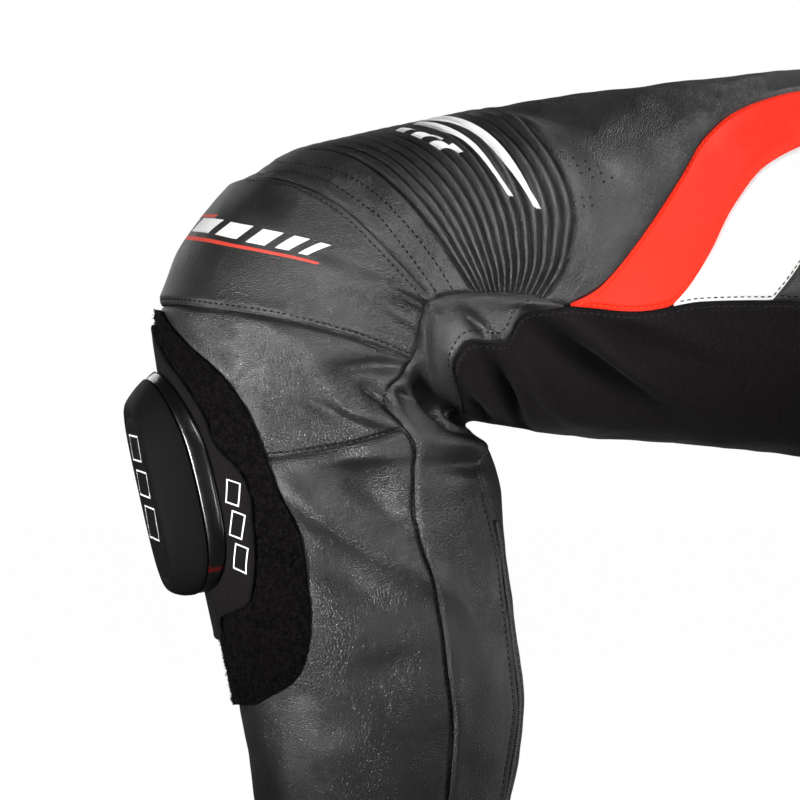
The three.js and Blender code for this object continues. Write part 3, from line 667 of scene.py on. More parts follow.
class Shader:
    """A material under construction."""

    def __init__(self, name):
        self.material = bpy.data.materials.new(name)
        self.material.use_nodes = True
        self.tree = self.material.node_tree
        self.tree.nodes.clear()

    def node(self, kind, settings=None, inputs=None, output=0):
        """Any node: its type, its settings, and the values or links of its sockets."""
        made = self.tree.nodes.new(kind)
        for key, value in (settings or {}).items():
            setattr(made, key, value)
        for key, value in (inputs or {}).items():
            if isinstance(value, Socket):
                self.tree.links.new(value.socket, made.inputs[key])
            else:
                made.inputs[key].default_value = value
        return Socket(self, made.outputs[output]) if made.outputs else None

    def place(self):
        """Object coordinates, in metres."""
        return self.node("ShaderNodeTexCoord", output="Object")

    def cloth(self, axis):
        """Metres across the panel from its middle (0), or up it from its lower edge (1)."""
        uv = self.node("ShaderNodeUVMap", {"uv_map": "cloth"})
        return self.node("ShaderNodeSeparateXYZ", {}, {0: uv}, axis)

    def mark(self, name):
        """A value stored on the mesh's points."""
        return self.node("ShaderNodeAttribute", {"attribute_name": name}, output="Fac")

    def noise(self, scale, detail=3.0, roughness=0.55):
        inputs = {"Vector": self.place(), "Scale": scale, "Detail": detail, "Roughness": roughness}
        return self.node("ShaderNodeTexNoise", {}, inputs)

    def vector(self, operation, *values):
        """One Vector Math node. A single number stands for three alike."""
        filled = [(value,) * 3 if isinstance(value, float) else value for value in values]
        return self.node("ShaderNodeVectorMath", {"operation": operation}, dict(enumerate(filled)))

    def loops(self, scale, wander):
        """Distance from the nearest of scattered points, with the place pushed about by noise first."""
        where = self.place()
        drift = self.node("ShaderNodeTexNoise", {}, {"Vector": where, "Scale": scale * 0.35}, "Color")
        moved = self.vector("MULTIPLY_ADD", drift, wander, where)
        return self.node("ShaderNodeTexVoronoi", {"feature": "F1"}, {"Vector": moved, "Scale": scale})

    def hide_cells(self, long, short, wander):
        """Distance from the creases of a net of cells on the cloth, `long` round it and `short` up it."""
        flat = self.node("ShaderNodeUVMap", {"uv_map": "cloth"})
        inputs = {"Vector": self.place(), "Scale": 0.35 / long, "Detail": 1.0}
        drift = self.node("ShaderNodeTexNoise", {}, inputs, "Color")
        moved = self.vector("MULTIPLY_ADD", self.vector("SUBTRACT", drift, 0.5), wander * 3, flat)
        drawn = self.vector("DIVIDE", moved, (long, short, 1.0))
        settings = {"feature": "DISTANCE_TO_EDGE", "voronoi_dimensions": "2D"}
        return self.node("ShaderNodeTexVoronoi", settings, {"Vector": drawn, "Scale": 1.0}, "Distance")

    def span(self, value, low, high, to_low=0.0, to_high=1.0):
        """A smooth step from one value to another as the input goes from low to high."""
        return self.node("ShaderNodeMapRange", {"interpolation_type": "SMOOTHSTEP"}, {
            0: value, 1: low, 2: high, 3: to_low, 4: to_high})

    def tint(self, factor, a, b):
        """From colour a at 0 to colour b at 1."""
        return self.node("ShaderNodeMix", {"data_type": "RGBA"}, {0: factor, 6: a, 7: b}, 2)

    def printed(self, base, paint):
        """The base colour with each pair of printed bars and their colour laid over it."""
        for bars, colour in paint:
            base = self.tint(print_bars(self, bars), base, colour)
        return base

    def bump(self, height, distance, strength=1.0, over=None):
        inputs = {"Height": height, "Distance": distance, "Strength": strength}
        if over is not None:
            inputs["Normal"] = over
        return self.node("ShaderNodeBump", {}, inputs)

    def finish(self, **inputs):
        """The surface, with each socket named by its label."""
        surface = self.node("ShaderNodeBsdfPrincipled", {}, {
            key.replace("_", " "): value for key, value in inputs.items()})
        self.node("ShaderNodeOutputMaterial", {}, {0: surface})
        return self.material


def grey(value):
    return (value, value, value, 1.0)


def brighter(color, times):
    """A colour with each part multiplied."""
    return tuple(c * times for c in color[:3]) + (1,)


def print_bars(shader, bars):
    """A mask of slanted bars. Each is middle u, middle v, length, height, slant, slope and taper, in mm."""
    u = shader.cloth(0) / MM
    v = shader.cloth(1) / MM
    mask = None
    for middle_u, middle_v, length, height, slant, slope, taper in bars:
        y = v - (u - middle_u) * slope - middle_v
        x = u - y * slant - middle_u
        inside = x.magnitude().below(length / 2) * y.magnitude().below(x * taper + height / 2)
        mask = inside if mask is None else mask.max(inside)
    return mask


# Cells of the hide, in metres: how long round the leg, how long up it, and how far they wander.
PEBBLE = (0.0017, 0.0012, 0.0007)
PLATES = (0.0034, 0.0021, 0.0015)
FURROWS = (0.0040, 0.0017, 0.0026)
# Depths of the hide's bumps, in metres.
SOFT_DEPTH = 0.0009
FURROW_DEPTH = 0.00030
GRAIN_DEPTH = 0.00023
INK_DEPTH = 0.0003
HOLE_DEPTH = 0.0006
HOLE_SHARE = 0.026  # a hole's radius squared, as a share of its pitch squared


def leather(name, color, rough=0.42, grain=1.0, shine=0.85, paint=(), holes=()):
    """Pebbled hide: small cells with creases between them, fine wrinkles where the mesh says so, and broad
    uneven sheen. `paint` holds pairs of printed bars and their colour, `holes` bars filled with punched
    holes."""
    shader = Shader(name)
    wide = shader.noise(14, 2)
    pebble = shader.hide_cells(*PEBBLE)
    small = shader.hide_cells(*PLATES)
    pores = shader.noise(2600, 2)
    patchy = shader.span(shader.noise(38, 3), 0.35, 0.65, 0.45, 1.0)
    height = (shader.span(pebble, 0.0, 0.4) + shader.span(small, 0.0, 0.3) * 0.3) * patchy + pores * 0.05
    amount = shader.mark("wrinkle")
    furrow = shader.span(shader.hide_cells(*FURROWS), 0.0, 0.3) ** 0.7
    soft = shader.bump(shader.noise(70, 3, 0.6), SOFT_DEPTH, 0.7)
    gathered = shader.bump(furrow * amount, FURROW_DEPTH, 1.0, soft)
    normal = shader.bump(height, GRAIN_DEPTH * grain, 1.0, gathered)
    base = shader.tint(shader.span(wide, 0.3, 0.7), color, brighter(color, 1.18))
    # painted shade: the base colour is darker in the creases between the hide's cells
    base = shader.tint(shader.span(pebble, 0.1, 0.0) * 0.4, base, brighter(color, 0.6))
    roughness = shader.span(wide, 0.25, 0.75, rough - 0.02, rough + 0.08)
    roughness = roughness + shader.span(pebble, 0.14, 0.0) * 0.2
    for bars, colour in paint:
        mask = print_bars(shader, bars)
        base = shader.tint(mask, base, colour)
        roughness = roughness + mask * 0.12
        normal = shader.bump(mask, INK_DEPTH, 0.6, normal)
    if holes:
        across_cell = ((shader.cloth(0) / MM).repeat(HOLE_PITCH) - 0.5).magnitude()
        up_cell = ((shader.cloth(1) / MM).repeat(HOLE_PITCH) - 0.5).magnitude()
        inside = (across_cell * across_cell + up_cell * up_cell).below(HOLE_SHARE)
        hole = inside * print_bars(shader, holes)
        # painted shade: each punched hole's base colour is near black, for the dark inside of the hole
        base = shader.tint(hole, base, grey(0.001))
        roughness = roughness.max(hole)
        normal = shader.bump(1.0 - hole, HOLE_DEPTH, 1.0, normal)
    return shader.finish(Base_Color=base, Roughness=roughness, Normal=normal, Specular_IOR_Level=shine)


STRETCH_DARK = (0.0035, 0.0029, 0.0033, 1)
STRETCH_LIGHT = (0.0105, 0.0088, 0.0100, 1)
# painted shade colour for the stretch cloth's fold hollows
STRETCH_PAINTED_SHADE = (0.0012, 0.0010, 0.0011, 1)
# painted shade and painted light for the loop pad's clumps
LOOP_SHADED = (0.0015, 0.0012, 0.0012, 1)
LOOP_LIT = (0.0075, 0.006, 0.006, 1)


def stretch_fabric(name, paint=()):
    """A fine woven stretch cloth: threads across and along, matte and mottled, with painted shade darkening
    its hollows.
    """
    shader = Shader(name)
    across_thread = (shader.cloth(0) / MM).repeat(0.62)
    along_thread = (shader.cloth(1) / MM).repeat(0.5)
    ribs = (across_thread - 0.5).magnitude() + (along_thread - 0.5).magnitude()
    fuzz = shader.noise(2600, 2)
    normal = shader.bump(ribs + fuzz * 0.6, 0.00012, 0.6, shader.bump(shader.noise(120, 3), 0.0009, 0.5))
    base = shader.tint(shader.span(shader.noise(1100, 3, 0.7), 0.35, 0.65), STRETCH_DARK, STRETCH_LIGHT)
    # painted shade: the base colour darkens towards the shade colour where the folds are deepest
    base = shader.tint(shader.mark("hollow") * 0.85, base, STRETCH_PAINTED_SHADE)
    return shader.finish(Base_Color=shader.printed(base, paint), Roughness=0.82, Normal=normal,
                         Sheen_Weight=0.03, Sheen_Roughness=0.4, Specular_IOR_Level=0.08)


def brushed_loops(name):
    """Matted loops: round tufts on uneven clumps, with painted light and shade: palest on the clumps' tops,
    darkest between them.
    """
    shader = Shader(name)
    tufts = shader.loops(1500, 0.0009)
    clumps = shader.noise(420, 4, 0.7)
    normal = shader.bump(tufts * 0.6 + clumps, 0.0012, 1.0)
    # painted light and shade: the colour follows the clumps' bump, pale on top and dark in the hollows
    base = shader.tint(shader.span(clumps, 0.42, 0.62), LOOP_SHADED, LOOP_LIT)
    return shader.finish(Base_Color=base, Roughness=0.95, Normal=normal, Specular_IOR_Level=0.06)


def thread(name, color):
    """Twisted thread, unevenly up to 1.6 times as bright as its colour."""
    shader = Shader(name)
    twist = shader.noise(2400, 2)
    return shader.finish(Base_Color=shader.tint(twist, color, brighter(color, 1.6)),
                         Roughness=0.85, Normal=shader.bump(twist, 0.0001, 0.6), Specular_IOR_Level=0.15)


def plastic(name, color, rough, shine=0.5, coat=0.0, paint=()):
    """Moulded plastic, rougher and a little paler where it is worn."""
    shader = Shader(name)
    wear = shader.noise(260, 4, 0.6)
    fine = shader.noise(2200, 2)
    base = shader.tint(shader.span(wear, 0.4, 0.75) * 0.1, color, brighter(color, 1.7))
    roughness = shader.span(wear, 0.3, 0.8, rough, rough + 0.08)
    return shader.finish(Base_Color=shader.printed(base, paint), Roughness=roughness,
                         Normal=shader.bump(fine, 0.00005, 0.5), Specular_IOR_Level=shine,
                         Coat_Weight=coat, Coat_Roughness=0.12)


def enamel(name, color, rough):
    """Dark enamel on metal, greyer and rougher in worn spots."""
    shader = Shader(name)
    wear = shader.noise(900, 3)
    worn = shader.tint(shader.span(wear, 0.55, 0.75), color, grey(0.09))
    return shader.finish(Base_Color=worn, Metallic=0.6,
                         Roughness=shader.span(wear, 0.3, 0.7, rough, rough + 0.15),
                         Normal=shader.bump(wear, 0.00004, 0.5))


WHITE_INK = (0.96, 0.96, 0.95, 1)
RED_INK = (0.72, 0.045, 0.02, 1)
BLACK_INK = (0.006, 0.006, 0.006, 1)
# colour of the painted reflection on the puck's glossy base
REFLECTED_RED = (0.045, 0.002, 0.002, 1)
# Printed bars: middle u, middle v, length, height, slant, slope, taper.
CAP_BARS = [
    (109, 41, 5, 9, 0.7, -0.06, 0), (97, 42, 8, 9, 0.7, -0.06, 0), (81, 43, 12, 9, 0.7, -0.06, 0),
    (60, 45, 17, 9, 0.7, -0.06, 0), (32, 47, 26, 9, 0.7, -0.06, 0), (-6, 48, 36, 9, 0.7, -0.04, 0),
]
CAP_LINES = [(62, 36.5, 108, 2.0, 0.7, -0.06, -0.006), (4, 54.5, 70, 1.6, 0.7, -0.05, 0.006)]
PLEAT_BARS = [
    (62, 68, 112, 6.5, 0.8, -0.16, -0.03), (66, 57, 86, 4.0, 0.8, -0.16, -0.02),
    (36, 47, 9, 9, 0.9, -0.1, 0), (52, 45.5, 9, 9, 0.9, -0.1, 0), (68, 44, 9, 9, 0.9, -0.1, 0),
]
FLAP_BARS = [(51, 101, 8, 15, 0.3, 0, 0), (50, 83, 8, 15, 0.3, 0, 0), (49, 65, 8, 15, 0.3, 0, 0)]
FLAP_INSIDES = [
    (51, 101, 6.4, 13.2, 0.3, 0, 0), (50, 83, 6.4, 13.2, 0.3, 0, 0), (49, 65, 6.4, 13.2, 0.3, 0, 0),
]
FACE_BARS = [(0, 28, 40, 15, 0.5, 0, 0), (0, 8, 46, 15, 0.5, 0, 0), (0, -14, 44, 19, 0.5, 0, 0)]
FACE_INSIDES = [(0, 28, 37, 13, 0.5, 0, 0), (0, 8, 43, 13, 0.5, 0, 0), (0, -14, 41, 17, 0.5, 0, 0)]
# painted reflection: a dark red patch low on the glossy base's wall
BASE_RED_REFLECTION = [(31, -40, 9, 8, 0, 0, 0)]
PUNCHED = [(99, 14, 28, 11, 0, 0.8, 0), (118, 9, 9, 9, 0, 0, 0)]
HIDE = (0.0048, 0.0041, 0.0039, 1)
BLACK_HIDE = leather("black_leather", HIDE)
CAP_HIDE = leather("cap_leather", HIDE, 0.41, 0.9, paint=[(CAP_LINES, RED_INK), (CAP_BARS, WHITE_INK)])
PLEAT_HIDE = leather("pleat_leather", HIDE, 0.42, 0.8, paint=[(PLEAT_BARS, WHITE_INK)])
GUSSET_HIDE = leather("gusset_leather", HIDE, 0.42, 0.8)
THIGH_HIDE = leather("thigh_leather", HIDE, 0.43, 0.8, holes=PUNCHED)
RED_HIDE = leather("red_leather", (0.84, 0.022, 0.006, 1), 0.55, 0.4, shine=0.25)
WHITE_HIDE = leather("white_leather", (0.80, 0.80, 0.79, 1), 0.55, 0.4, shine=0.25)
STRETCH_CLOTH = stretch_fabric("stretch_fabric")
LOOPS = brushed_loops("loop_pad")
BLACK_THREAD = thread("black_thread", grey(0.0025))
GREY_THREAD = thread("grey_thread", grey(0.012))
LOOP_HAIR = thread("loop_hair", grey(0.009))
RED_THREAD = thread("red_thread", (0.80, 0.045, 0.016, 1))
# the base carries a painted reflection, a dark red patch low on its wall
BASE_PLASTIC = plastic("slider_base_plastic", grey(0.003), 0.18, coat=0.3, paint=[(BASE_RED_REFLECTION, REFLECTED_RED)])
FACE_PLASTIC = plastic("slider_face_plastic", grey(0.006), 0.62, shine=0.04,
                       paint=[(FACE_BARS, WHITE_INK), (FACE_INSIDES, BLACK_INK)])
ZIP_ENAMEL = enamel("zip_enamel", grey(0.02), 0.32)
FLAP_CLOTH = stretch_fabric("flap_fabric", [(FLAP_BARS, WHITE_INK), (FLAP_INSIDES, BLACK_INK)])
ZIP_TAPE = stretch_fabric("zip_tape")
ZIP_COIL = plastic("zip_coil", grey(0.12), 0.35)


# ---- The cloth panels ----
NARROWEST_SHEET = 0.01  # in metres; a narrower strip is a tape


def keep(piece, node, body="trousers"):
    """Stands a piece for a CAD node on its body."""
    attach(piece, body)
    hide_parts(node)
    return piece


def sheet(patch):
    """Reads the panel's width and length in metres, and returns without changing anything."""
    width, length = patch.width * MM, patch.length * MM
    if width < NARROWEST_SHEET:
        return


def panel(node, patch, side, material, height, thick, lift):
    """One panel of cloth: its wall stands for its CAD node."""
    piece = shell(node + "_cloth", patch, height, thick, lift, material, side)
    keep(piece, node)
    sheet(patch)


TUCK_PITCH = 2.7


def pleat_height(patch):
    """Rounded ribs with sharp valleys between them, crossed by small gathers that grow towards the sides."""
    wander = 0.16 * soft_noise(patch.skin, 60) * np.sin(np.pi * patch.v)
    phase = patch.v * PLEATS + wander
    arch = np.abs(np.sin(np.pi * phase)) ** 0.62
    side = np.abs(patch.u - 0.5) * 2
    ends = np.clip(np.minimum(patch.edges["left"], patch.edges["right"]) / 9, 0, 1) ** 0.5
    along_rib = patch.middle * 2 * np.pi / TUCK_PITCH + 5 * np.floor(phase)
    tucks = np.sin(along_rib) * (0.2 + 0.45 * side**2)
    rough = 0.35 * side**2 * soft_noise(patch.skin, 2.4)
    height = PLEAT_HEIGHT * (0.8 + 0.55 * side**1.5) * arch * (0.35 + 0.65 * ends)
    return height + (tucks * (1.15 - arch) + rough) * ends - 0.6


# Rows of stitches: the panel, then each edge and the distance from it.
STITCH_LINES = {
    "knee_cap": [("low", 2.9), ("high", 3.4)],
    "knee_low": [("low", 2.4)],
    "knee_band": [],
    "stripe_red": [("left", 2.0), ("right", 2.0)],
    "stripe_white": [("right", 2.0)],
    "stretch_back": [("left", 3.0), ("right", 3.0)],
    "gusset_outer": [("right", 6.5)],
    "hip_side": [("right", 2.6)],
    "seat": [("right", 3.0), ("high", 3.0)],
    "waistband": [("low", 3.0), ("high", 3.0)],
    "hip_front": [("high", 3.0)],
    "calf_back": [("left", 3.0), ("low", 8.0)],
    "shin": [("low", 8.0), ("right", 1.3)],
}
# Edges that lie over their neighbour: how far the cloth stands up there.
RAISED = {
    "knee_cap": [("low", 1.1), ("high", 0.7)],
    "knee_low": [("low", 0.8), ("high", -0.5)],
    "knee_band": [("high", 0.9), ("low", -0.3)],
    "thigh_front": [("low", 0.9)],
    "gusset_outer": [("left", 1.1), ("right", 1.2)],
    "shin": [("right", -0.3)],
    "stripe_red": [("left", 0.6)],
    "stripe_white": [("left", 0.5)],
}
# Lines of quilting across a panel.
QUILTING = {"knee_band": (BAND_LINE_LOW, BAND_LINE_HIGH)}
# Edges that carry on into the next panel with no seam showing.
FLUSH = {"calf_top": ("low",), "calf_back": ("high",), "stretch_back": ("low",)}


GROOVE_DEPTH = 0.75


def stitch_groove(distance, at):
    """The thread pulls the cloth down in a narrow bell."""
    return -GROOVE_DEPTH * bell(distance - at, 0.8)


def lined(patch, table):
    """How far up the leg the cloth lies past a line of quilting."""
    return patch.along - smooth(table, np.abs(patch.around))


# ---- Hard pieces ----
def ring_solid(name, rings, flat, material, side):
    """A closed solid through rings of points, from its back to its front, each end closed at its middle."""
    count, corners = rings.shape[:2]
    index = np.arange(count * corners).reshape(count, corners)
    turned = np.roll(index, -1, 1)
    walls = np.stack([index[:-1], turned[:-1], turned[1:], index[1:]], -1).reshape(-1, 4)
    ends = []
    for row, middle, order in ((index[0], count * corners, -1), (index[-1], count * corners + 1, 1)):
        fan = np.stack([row[0::2], row[1::2], np.roll(row, -2)[0::2], np.full(corners // 2, middle)], -1)
        ends.append(fan[:, ::order])
    middles = np.stack([rings[0].mean(0), rings[-1].mean(0)])
    vertices = np.concatenate([rings.reshape(-1, 3), middles]) * MM
    uv = np.concatenate([flat.reshape(-1, 2), flat[0].mean(0)[None], flat[-1].mean(0)[None]]) * MM
    vertices, faces = mirror(vertices, np.concatenate([walls] + ends), side)
    return mesh_object(name, vertices, faces, material, uv)


def rounded(corners, square):
    """An outline between a circle (2) and a box (large), as shares of its half width and half length."""
    turn = np.arange(corners) / corners * 2 * math.pi
    c, s = np.cos(turn), np.sin(turn)
    reach = (np.abs(c) ** square + np.abs(s) ** square) ** (-1 / square)
    return c * reach, s * reach


def plate(name, foot, across_way, along_way, size, layers, side, square, corners=48):
    """A rounded plate: layers of one outline, each as how far it is drawn in and its height, in mm."""
    c, s = rounded(corners, square)
    normal = np.cross(across_way, along_way)
    rings, flats = [], []
    for drawn_in, height in layers:
        x, y = c * (size[0] / 2 - drawn_in), s * (size[1] / 2 - drawn_in)
        rings.append(foot + x[:, None] * across_way + y[:, None] * along_way + normal * height)
        flats.append(np.stack([x, y], -1))
    return ring_solid(name, np.stack(rings), np.stack(flats), ZIP_ENAMEL, side)


PUCK = {
    "along": 337, "around": 10, "above": 50, "below": 62, "half_angle": 34, "face_length": 48,
    "face_width": 34,
}
PUCK_CORNERS = 160
PUCK_HEIGHT = 27.5
PUCK_BACK = 5.7  # where the flap's outer face lies
PUCK_SQUARE = 3.3
FACE_TILT = 0.05  # the face turns a little towards the outer side
FACE_SIZE = 0.84
# Rings of the puck's outline: its size, and how far it lies from the flap (0) to the face (1).
PUCK_BASE = [
    (0.6, 0.0), (0.95, 0.0), (0.985, 0.015), (0.998, 0.05), (1.0, 0.1), (0.998, 0.2), (0.994, 0.285),
    (0.985, 0.3), (0.955, 0.305), (0.6, 0.31),
]
PUCK_CAP = [
    (0.6, 0.32), (0.95, 0.318), (0.98, 0.32), (0.996, 0.333), (1.0, 0.36), (0.997, 0.45), (0.986, 0.6),
    (0.97, 0.72), (0.95, 0.83), (0.934, 0.9), (0.914, 0.95), (0.885, 0.985), (0.85, 0.999), (0.82, 1.0),
    (0.805, 0.998), (0.797, 0.982), (0.788, 0.978), (0.779, 0.982), (0.77, 0.998), (0.7, 1.0), (0.5, 1.0),
    (0.3, 1.0),
]


def puck_rings(rows):
    """The back of the puck follows the flap, its face is flat, and its walls run between them."""
    along, around = PUCK["along"], PUCK["around"]
    foot, normal = ring(along, around), outward(along, around)
    up = unit(ring(along + 4, around) - ring(along - 4, around))
    sideways = np.cross(up, normal)
    c, s = rounded(PUCK_CORNERS, PUCK_SQUARE)
    size, height = np.array(rows).T[..., None]
    back_along = along + size * s * np.where(s < 0, PUCK["below"], PUCK["above"])
    back_around = around + size * c * PUCK["half_angle"]
    back = ring(back_along, back_around) + outward(back_along, back_around) * PUCK_BACK
    x, y = size / FACE_SIZE * c * PUCK["face_width"], size / FACE_SIZE * s * PUCK["face_length"]
    lean = normal * (PUCK_HEIGHT - FACE_TILT * (x + PUCK["face_width"]))[..., None]
    face = foot + lean + x[..., None] * sideways + y[..., None] * up
    return mix(back, face, height[..., None]), np.stack([x, y], -1)


def build_puck(side, tag):
    """The puck's base and its cap, two solids for one CAD node."""
    node = "slider_puck_" + tag
    for name, rows, material in (("base", PUCK_BASE, BASE_PLASTIC), ("cap", PUCK_CAP, FACE_PLASTIC)):
        piece = ring_solid(f"slider_{name}_{tag}", *puck_rings(rows), material, side)
        keep(piece, node)


ZIP_SLIDER = {"along": 34, "width": 9, "length": 13, "floor": 2, "height": 5, "ear": 1.1}
PULL = {"width": 6.2, "length": 27, "thick": 1.4}
TOOTH_PITCH = 1.6
TOOTH_SIZE = (2.2, 1.1, 0.95)
# Layers of plates: how far the outline is drawn in, and the height.
TAB_LAYERS = [
    (0.45, -0.7), (0.12, -0.58), (0.0, -0.4), (0.0, 0.4), (0.12, 0.58), (0.45, 0.7), (1.3, 0.7), (1.5, 0.4),
    (2.2, 0.38),
]
DOME_LAYERS = [
    (0.6, 0.0), (0.1, 0.15), (0.0, 0.5), (0.1, 0.9), (0.5, 1.2), (1.0, 1.25), (1.3, 1.15), (1.5, 1.4),
    (2.0, 2.1), (2.8, 2.7), (3.8, 3.05), (5.0, 3.15),
]


def build_zip(side, tag, patch):
    """The slider's body, its two ears and the pin between them, the pull tab on the pin, and the teeth."""
    at = ZIP_SLIDER["along"]
    around = side_back(at) + ZIP_DEGREES / 2
    out = outward(at, around)
    up = unit(ring(at + 4, around) - ring(at - 4, around))
    sideways = np.cross(out, up)
    foot = ring(at, around) + out * 0.3
    width, length, floor, height = (ZIP_SLIDER[key] for key in ("width", "length", "floor", "height"))
    body = [(0.7, 0.05), (0.2, 0.15), (0.0, 0.5), (0.0, floor - 0.5), (0.2, floor - 0.15), (0.7, floor)]
    parts = [plate(f"zip_body_{tag}", foot, sideways, up, (width, length), body, side, 3.2)]
    wall = height - floor
    lug = [(0.0, 0.1), (0.0, wall - 0.7), (0.12, wall - 0.3), (0.35, wall - 0.1)]
    for which, place in (("front", -1), ("back", 1)):
        ear = foot + sideways * (place * (width - ZIP_SLIDER["ear"]) / 2) + up * 1.2 + out * (floor - 0.2)
        size = (ZIP_SLIDER["ear"], length - 3.4)
        parts.append(plate(f"zip_ear_{which}_{tag}", ear, sideways, up, size, lug, side, 3.0))
    pin = foot + out * (height - PULL["thick"] / 2) + up * (length / 2 - PULL["thick"])
    end = width / 2
    rod = [(0.15, 0.5 - end), (0.0, 0.6 - end), (0.0, end - 0.6), (0.15, end - 0.5)]
    parts.append(plate(f"zip_pin_{tag}", pin, up, out, (1.5, 1.5), rod, side, 2.0, 20))
    for part in parts:
        keep(part, "zip_slider_" + tag)
    down = unit(np.array([0.0, 0.0, -1.0]) + sideways * sideways[2])
    middle = pin + down * (PULL["length"] / 2 - PULL["thick"] / 2)
    size = (PULL["width"], PULL["length"])
    pull = plate(f"zip_tab_{tag}", middle, sideways, -down, size, TAB_LAYERS, side, 3.4)
    keep(pull, "zip_pull_" + tag, "pull_" + tag)
    centre = level_line(patch, patch.u, 0.5, 1)
    for row, shift in ((0, -0.75), (1, 0.75)):
        places, ahead, normal = (values[row::2] for values in evenly(*centre, TOOTH_PITCH / 2))
        way = np.cross(ahead, normal)
        places = places + way * shift + normal * 0.35
        teeth = beads(f"zip_teeth_{row}_{tag}", places, way, normal, TOOTH_SIZE, ZIP_COIL, side)


FLY = {"low": 918, "high": 1090, "width": 30, "thick": 1.6}
WAIST_TAB = {"low": 1099, "high": 1127, "left": -10, "right": 13, "thick": 1.8}
SNAP = {"along": 1113, "around": 7, "diameter": 12}
LAYER_GAP = 2.1  # between the skin and the layers that lie over it
WAIST_STITCH = 3.5


def fly_outer(along):
    """The fly flap's outer edge, its width away from the middle."""
    return -middle_angle(along) + np.degrees(2 * FLY["width"] / smooth(SECTIONS, along)[..., 5])


def build_waist():
    """The fly flap, the waist tab and its snap, which lie over the left half."""
    tab_left, tab_right = level(WAIST_TAB["left"]), level(WAIST_TAB["right"])
    fly = Patch(strip(FLY["low"], FLY["high"], front_edge, fly_outer), FINE)
    tab = Patch(strip(WAIST_TAB["low"], WAIST_TAB["high"], tab_left, tab_right), FINE)
    sides = ("left", "right", "low", "high")
    for name, patch, thick, edges in (
            ("fly_flap", fly, FLY["thick"], ("right",)), ("waist_tab", tab, WAIST_TAB["thick"], sides)):
        height = seam_roll(patch, 0.9, 1.3, 0.3) + stitch_groove(patch.edges["right"], WAIST_STITCH)
        panel(name, patch, 1, BLACK_HIDE, height, thick, LAYER_GAP)
        lines = [edge_line(patch, edge, WAIST_STITCH) for edge in edges]
        stitch(name + "_stitches", lines, 1, BLACK_THREAD)
    at, around, diameter = SNAP["along"], SNAP["around"], SNAP["diameter"]
    out = outward(at, around)
    up = unit(ring(at + 3, around) - ring(at - 3, around))
    foot = ring(at, around) + out * (LAYER_GAP + WAIST_TAB["thick"] + 0.2)
    size = (diameter, diameter)
    dome = plate("waist_snap_dome", foot, np.cross(up, out), up, size, DOME_LAYERS, 1, 2.0, 64)
    keep(dome, "waist_snap")


# Panels that aren't plain black leather: material and slot.
FINISHES = {
    "stripe_red": (RED_HIDE, "red_leather"),
    "stripe_white": (WHITE_HIDE, "white_leather"),
    "stretch_back": (STRETCH_CLOTH, "stretch_fabric"),
    "calf_zip": (ZIP_TAPE, "zip_tape"),
    "pleats": (PLEAT_HIDE, "black_leather"),
    "thigh_front": (THIGH_HIDE, "black_leather"),
    "knee_cap": (CAP_HIDE, "black_leather"),
    "gusset_outer": (GUSSET_HIDE, "black_leather"),
}
WOVEN = ("stretch_back", "calf_zip")
THREADS = {"stripe_red": RED_THREAD, "stretch_back": GREY_THREAD}


def half_patches(side):
    """The panels of one half, from the hem up."""
    spacing = FINE if side > 0 else COARSE
    unseen = spacing * 1.5  # on panels that face away
    rib_lines = 12 if side > 0 else 6
    thigh_inner = forked(FORK, front_side, thigh_side)

    def band(low, high, lower, upper, **lines):
        return Patch(crossing(low, high, front_side, side_front, lower, upper), spacing, **lines)

    def piece(low, high, left, right, between=spacing):
        return Patch(strip(low, high, left, right), between)

    shin_line, cap_line, cap_top, pleats_low, pleats_high = (
        seam(rows) for rows in (SHIN_SEAM, CAP_SEAM, CAP_TOP, PLEAT_START, PLEAT_END))
    thigh = crossing(PLEATS_TOP, GROIN, thigh_inner, stripe_front, pleats_high, level(GROIN))
    return {
        "shin": band(0, SHIN_TOP, level(0), shin_line),
        "knee_low": band(SHIN_TOP, KNEE_LOW_TOP, shin_line, cap_line),
        "knee_cap": band(KNEE_LOW_TOP, KNEE_CAP_TOP, cap_line, cap_top),
        "knee_band": band(KNEE_CAP_TOP, KNEE_BAND_TOP, cap_top, pleats_low),
        "pleats": band(KNEE_BAND_TOP, PLEATS_TOP, pleats_low, pleats_high, v_lines=PLEATS * rib_lines + 1),
        "thigh_front": Patch(thigh, spacing),
        "hip_front": piece(GROIN, WAIST_SEAM, front_middle, stripe_front, unseen),
        "stripe_red": piece(RED_TIP, WAIST_SEAM, stripe_front, stripe_middle),
        "stripe_white": piece(WHITE_TIP, WAIST_SEAM, stripe_middle, stripe_back),
        "hip_side": piece(HIP_TIP, WAIST_SEAM, stripe_back, thigh_seam, unseen),
        "calf_top": piece(ZIP_TOP, CALF_TOP, side_back, inner(side_back)),
        "stretch_back": piece(CALF_TOP, GROIN, back_seam, inner(back_seam)),
        "seat": piece(GROIN, WAIST_SEAM, thigh_seam, back_middle, unseen),
        "gusset_outer": piece(0, GUSSET_TOP, side_front, side_back),
        "gusset_inner": piece(0, GUSSET_TOP, inner(side_back), inner(side_front), unseen),
        "calf_zip": piece(0, ZIP_TOP, side_back, zip_edge),
        "calf_back": piece(0, ZIP_TOP, zip_edge, inner(side_back)),
        "waistband": piece(WAIST_SEAM, WAIST_TOP, front_edge, back_edge, unseen),
    }


def panel_height(name, patch):
    """The relief of a panel: rolled seams and soft waves, raised edges, and grooves under its stitches."""
    if name == "pleats":
        height = pleat_height(patch)
    elif name == "calf_zip":
        height = -0.6 * bell(np.minimum(patch.edges["left"], patch.edges["right"]), 1.2)
    else:
        height = seam_roll(patch, flush=FLUSH.get(name, ())) + creases(patch)
    for edge, rise in RAISED.get(name, ()):
        height = height + rise * bell(patch.edges[edge], 7 if name == "gusset_outer" else 9)
    for edge, distance in STITCH_LINES.get(name, ()):
        height = height + stitch_groove(patch.edges[edge], distance)
    for table in QUILTING.get(name, ()):
        height = height - 0.9 * bell(lined(patch, table), 1.0)
    return height


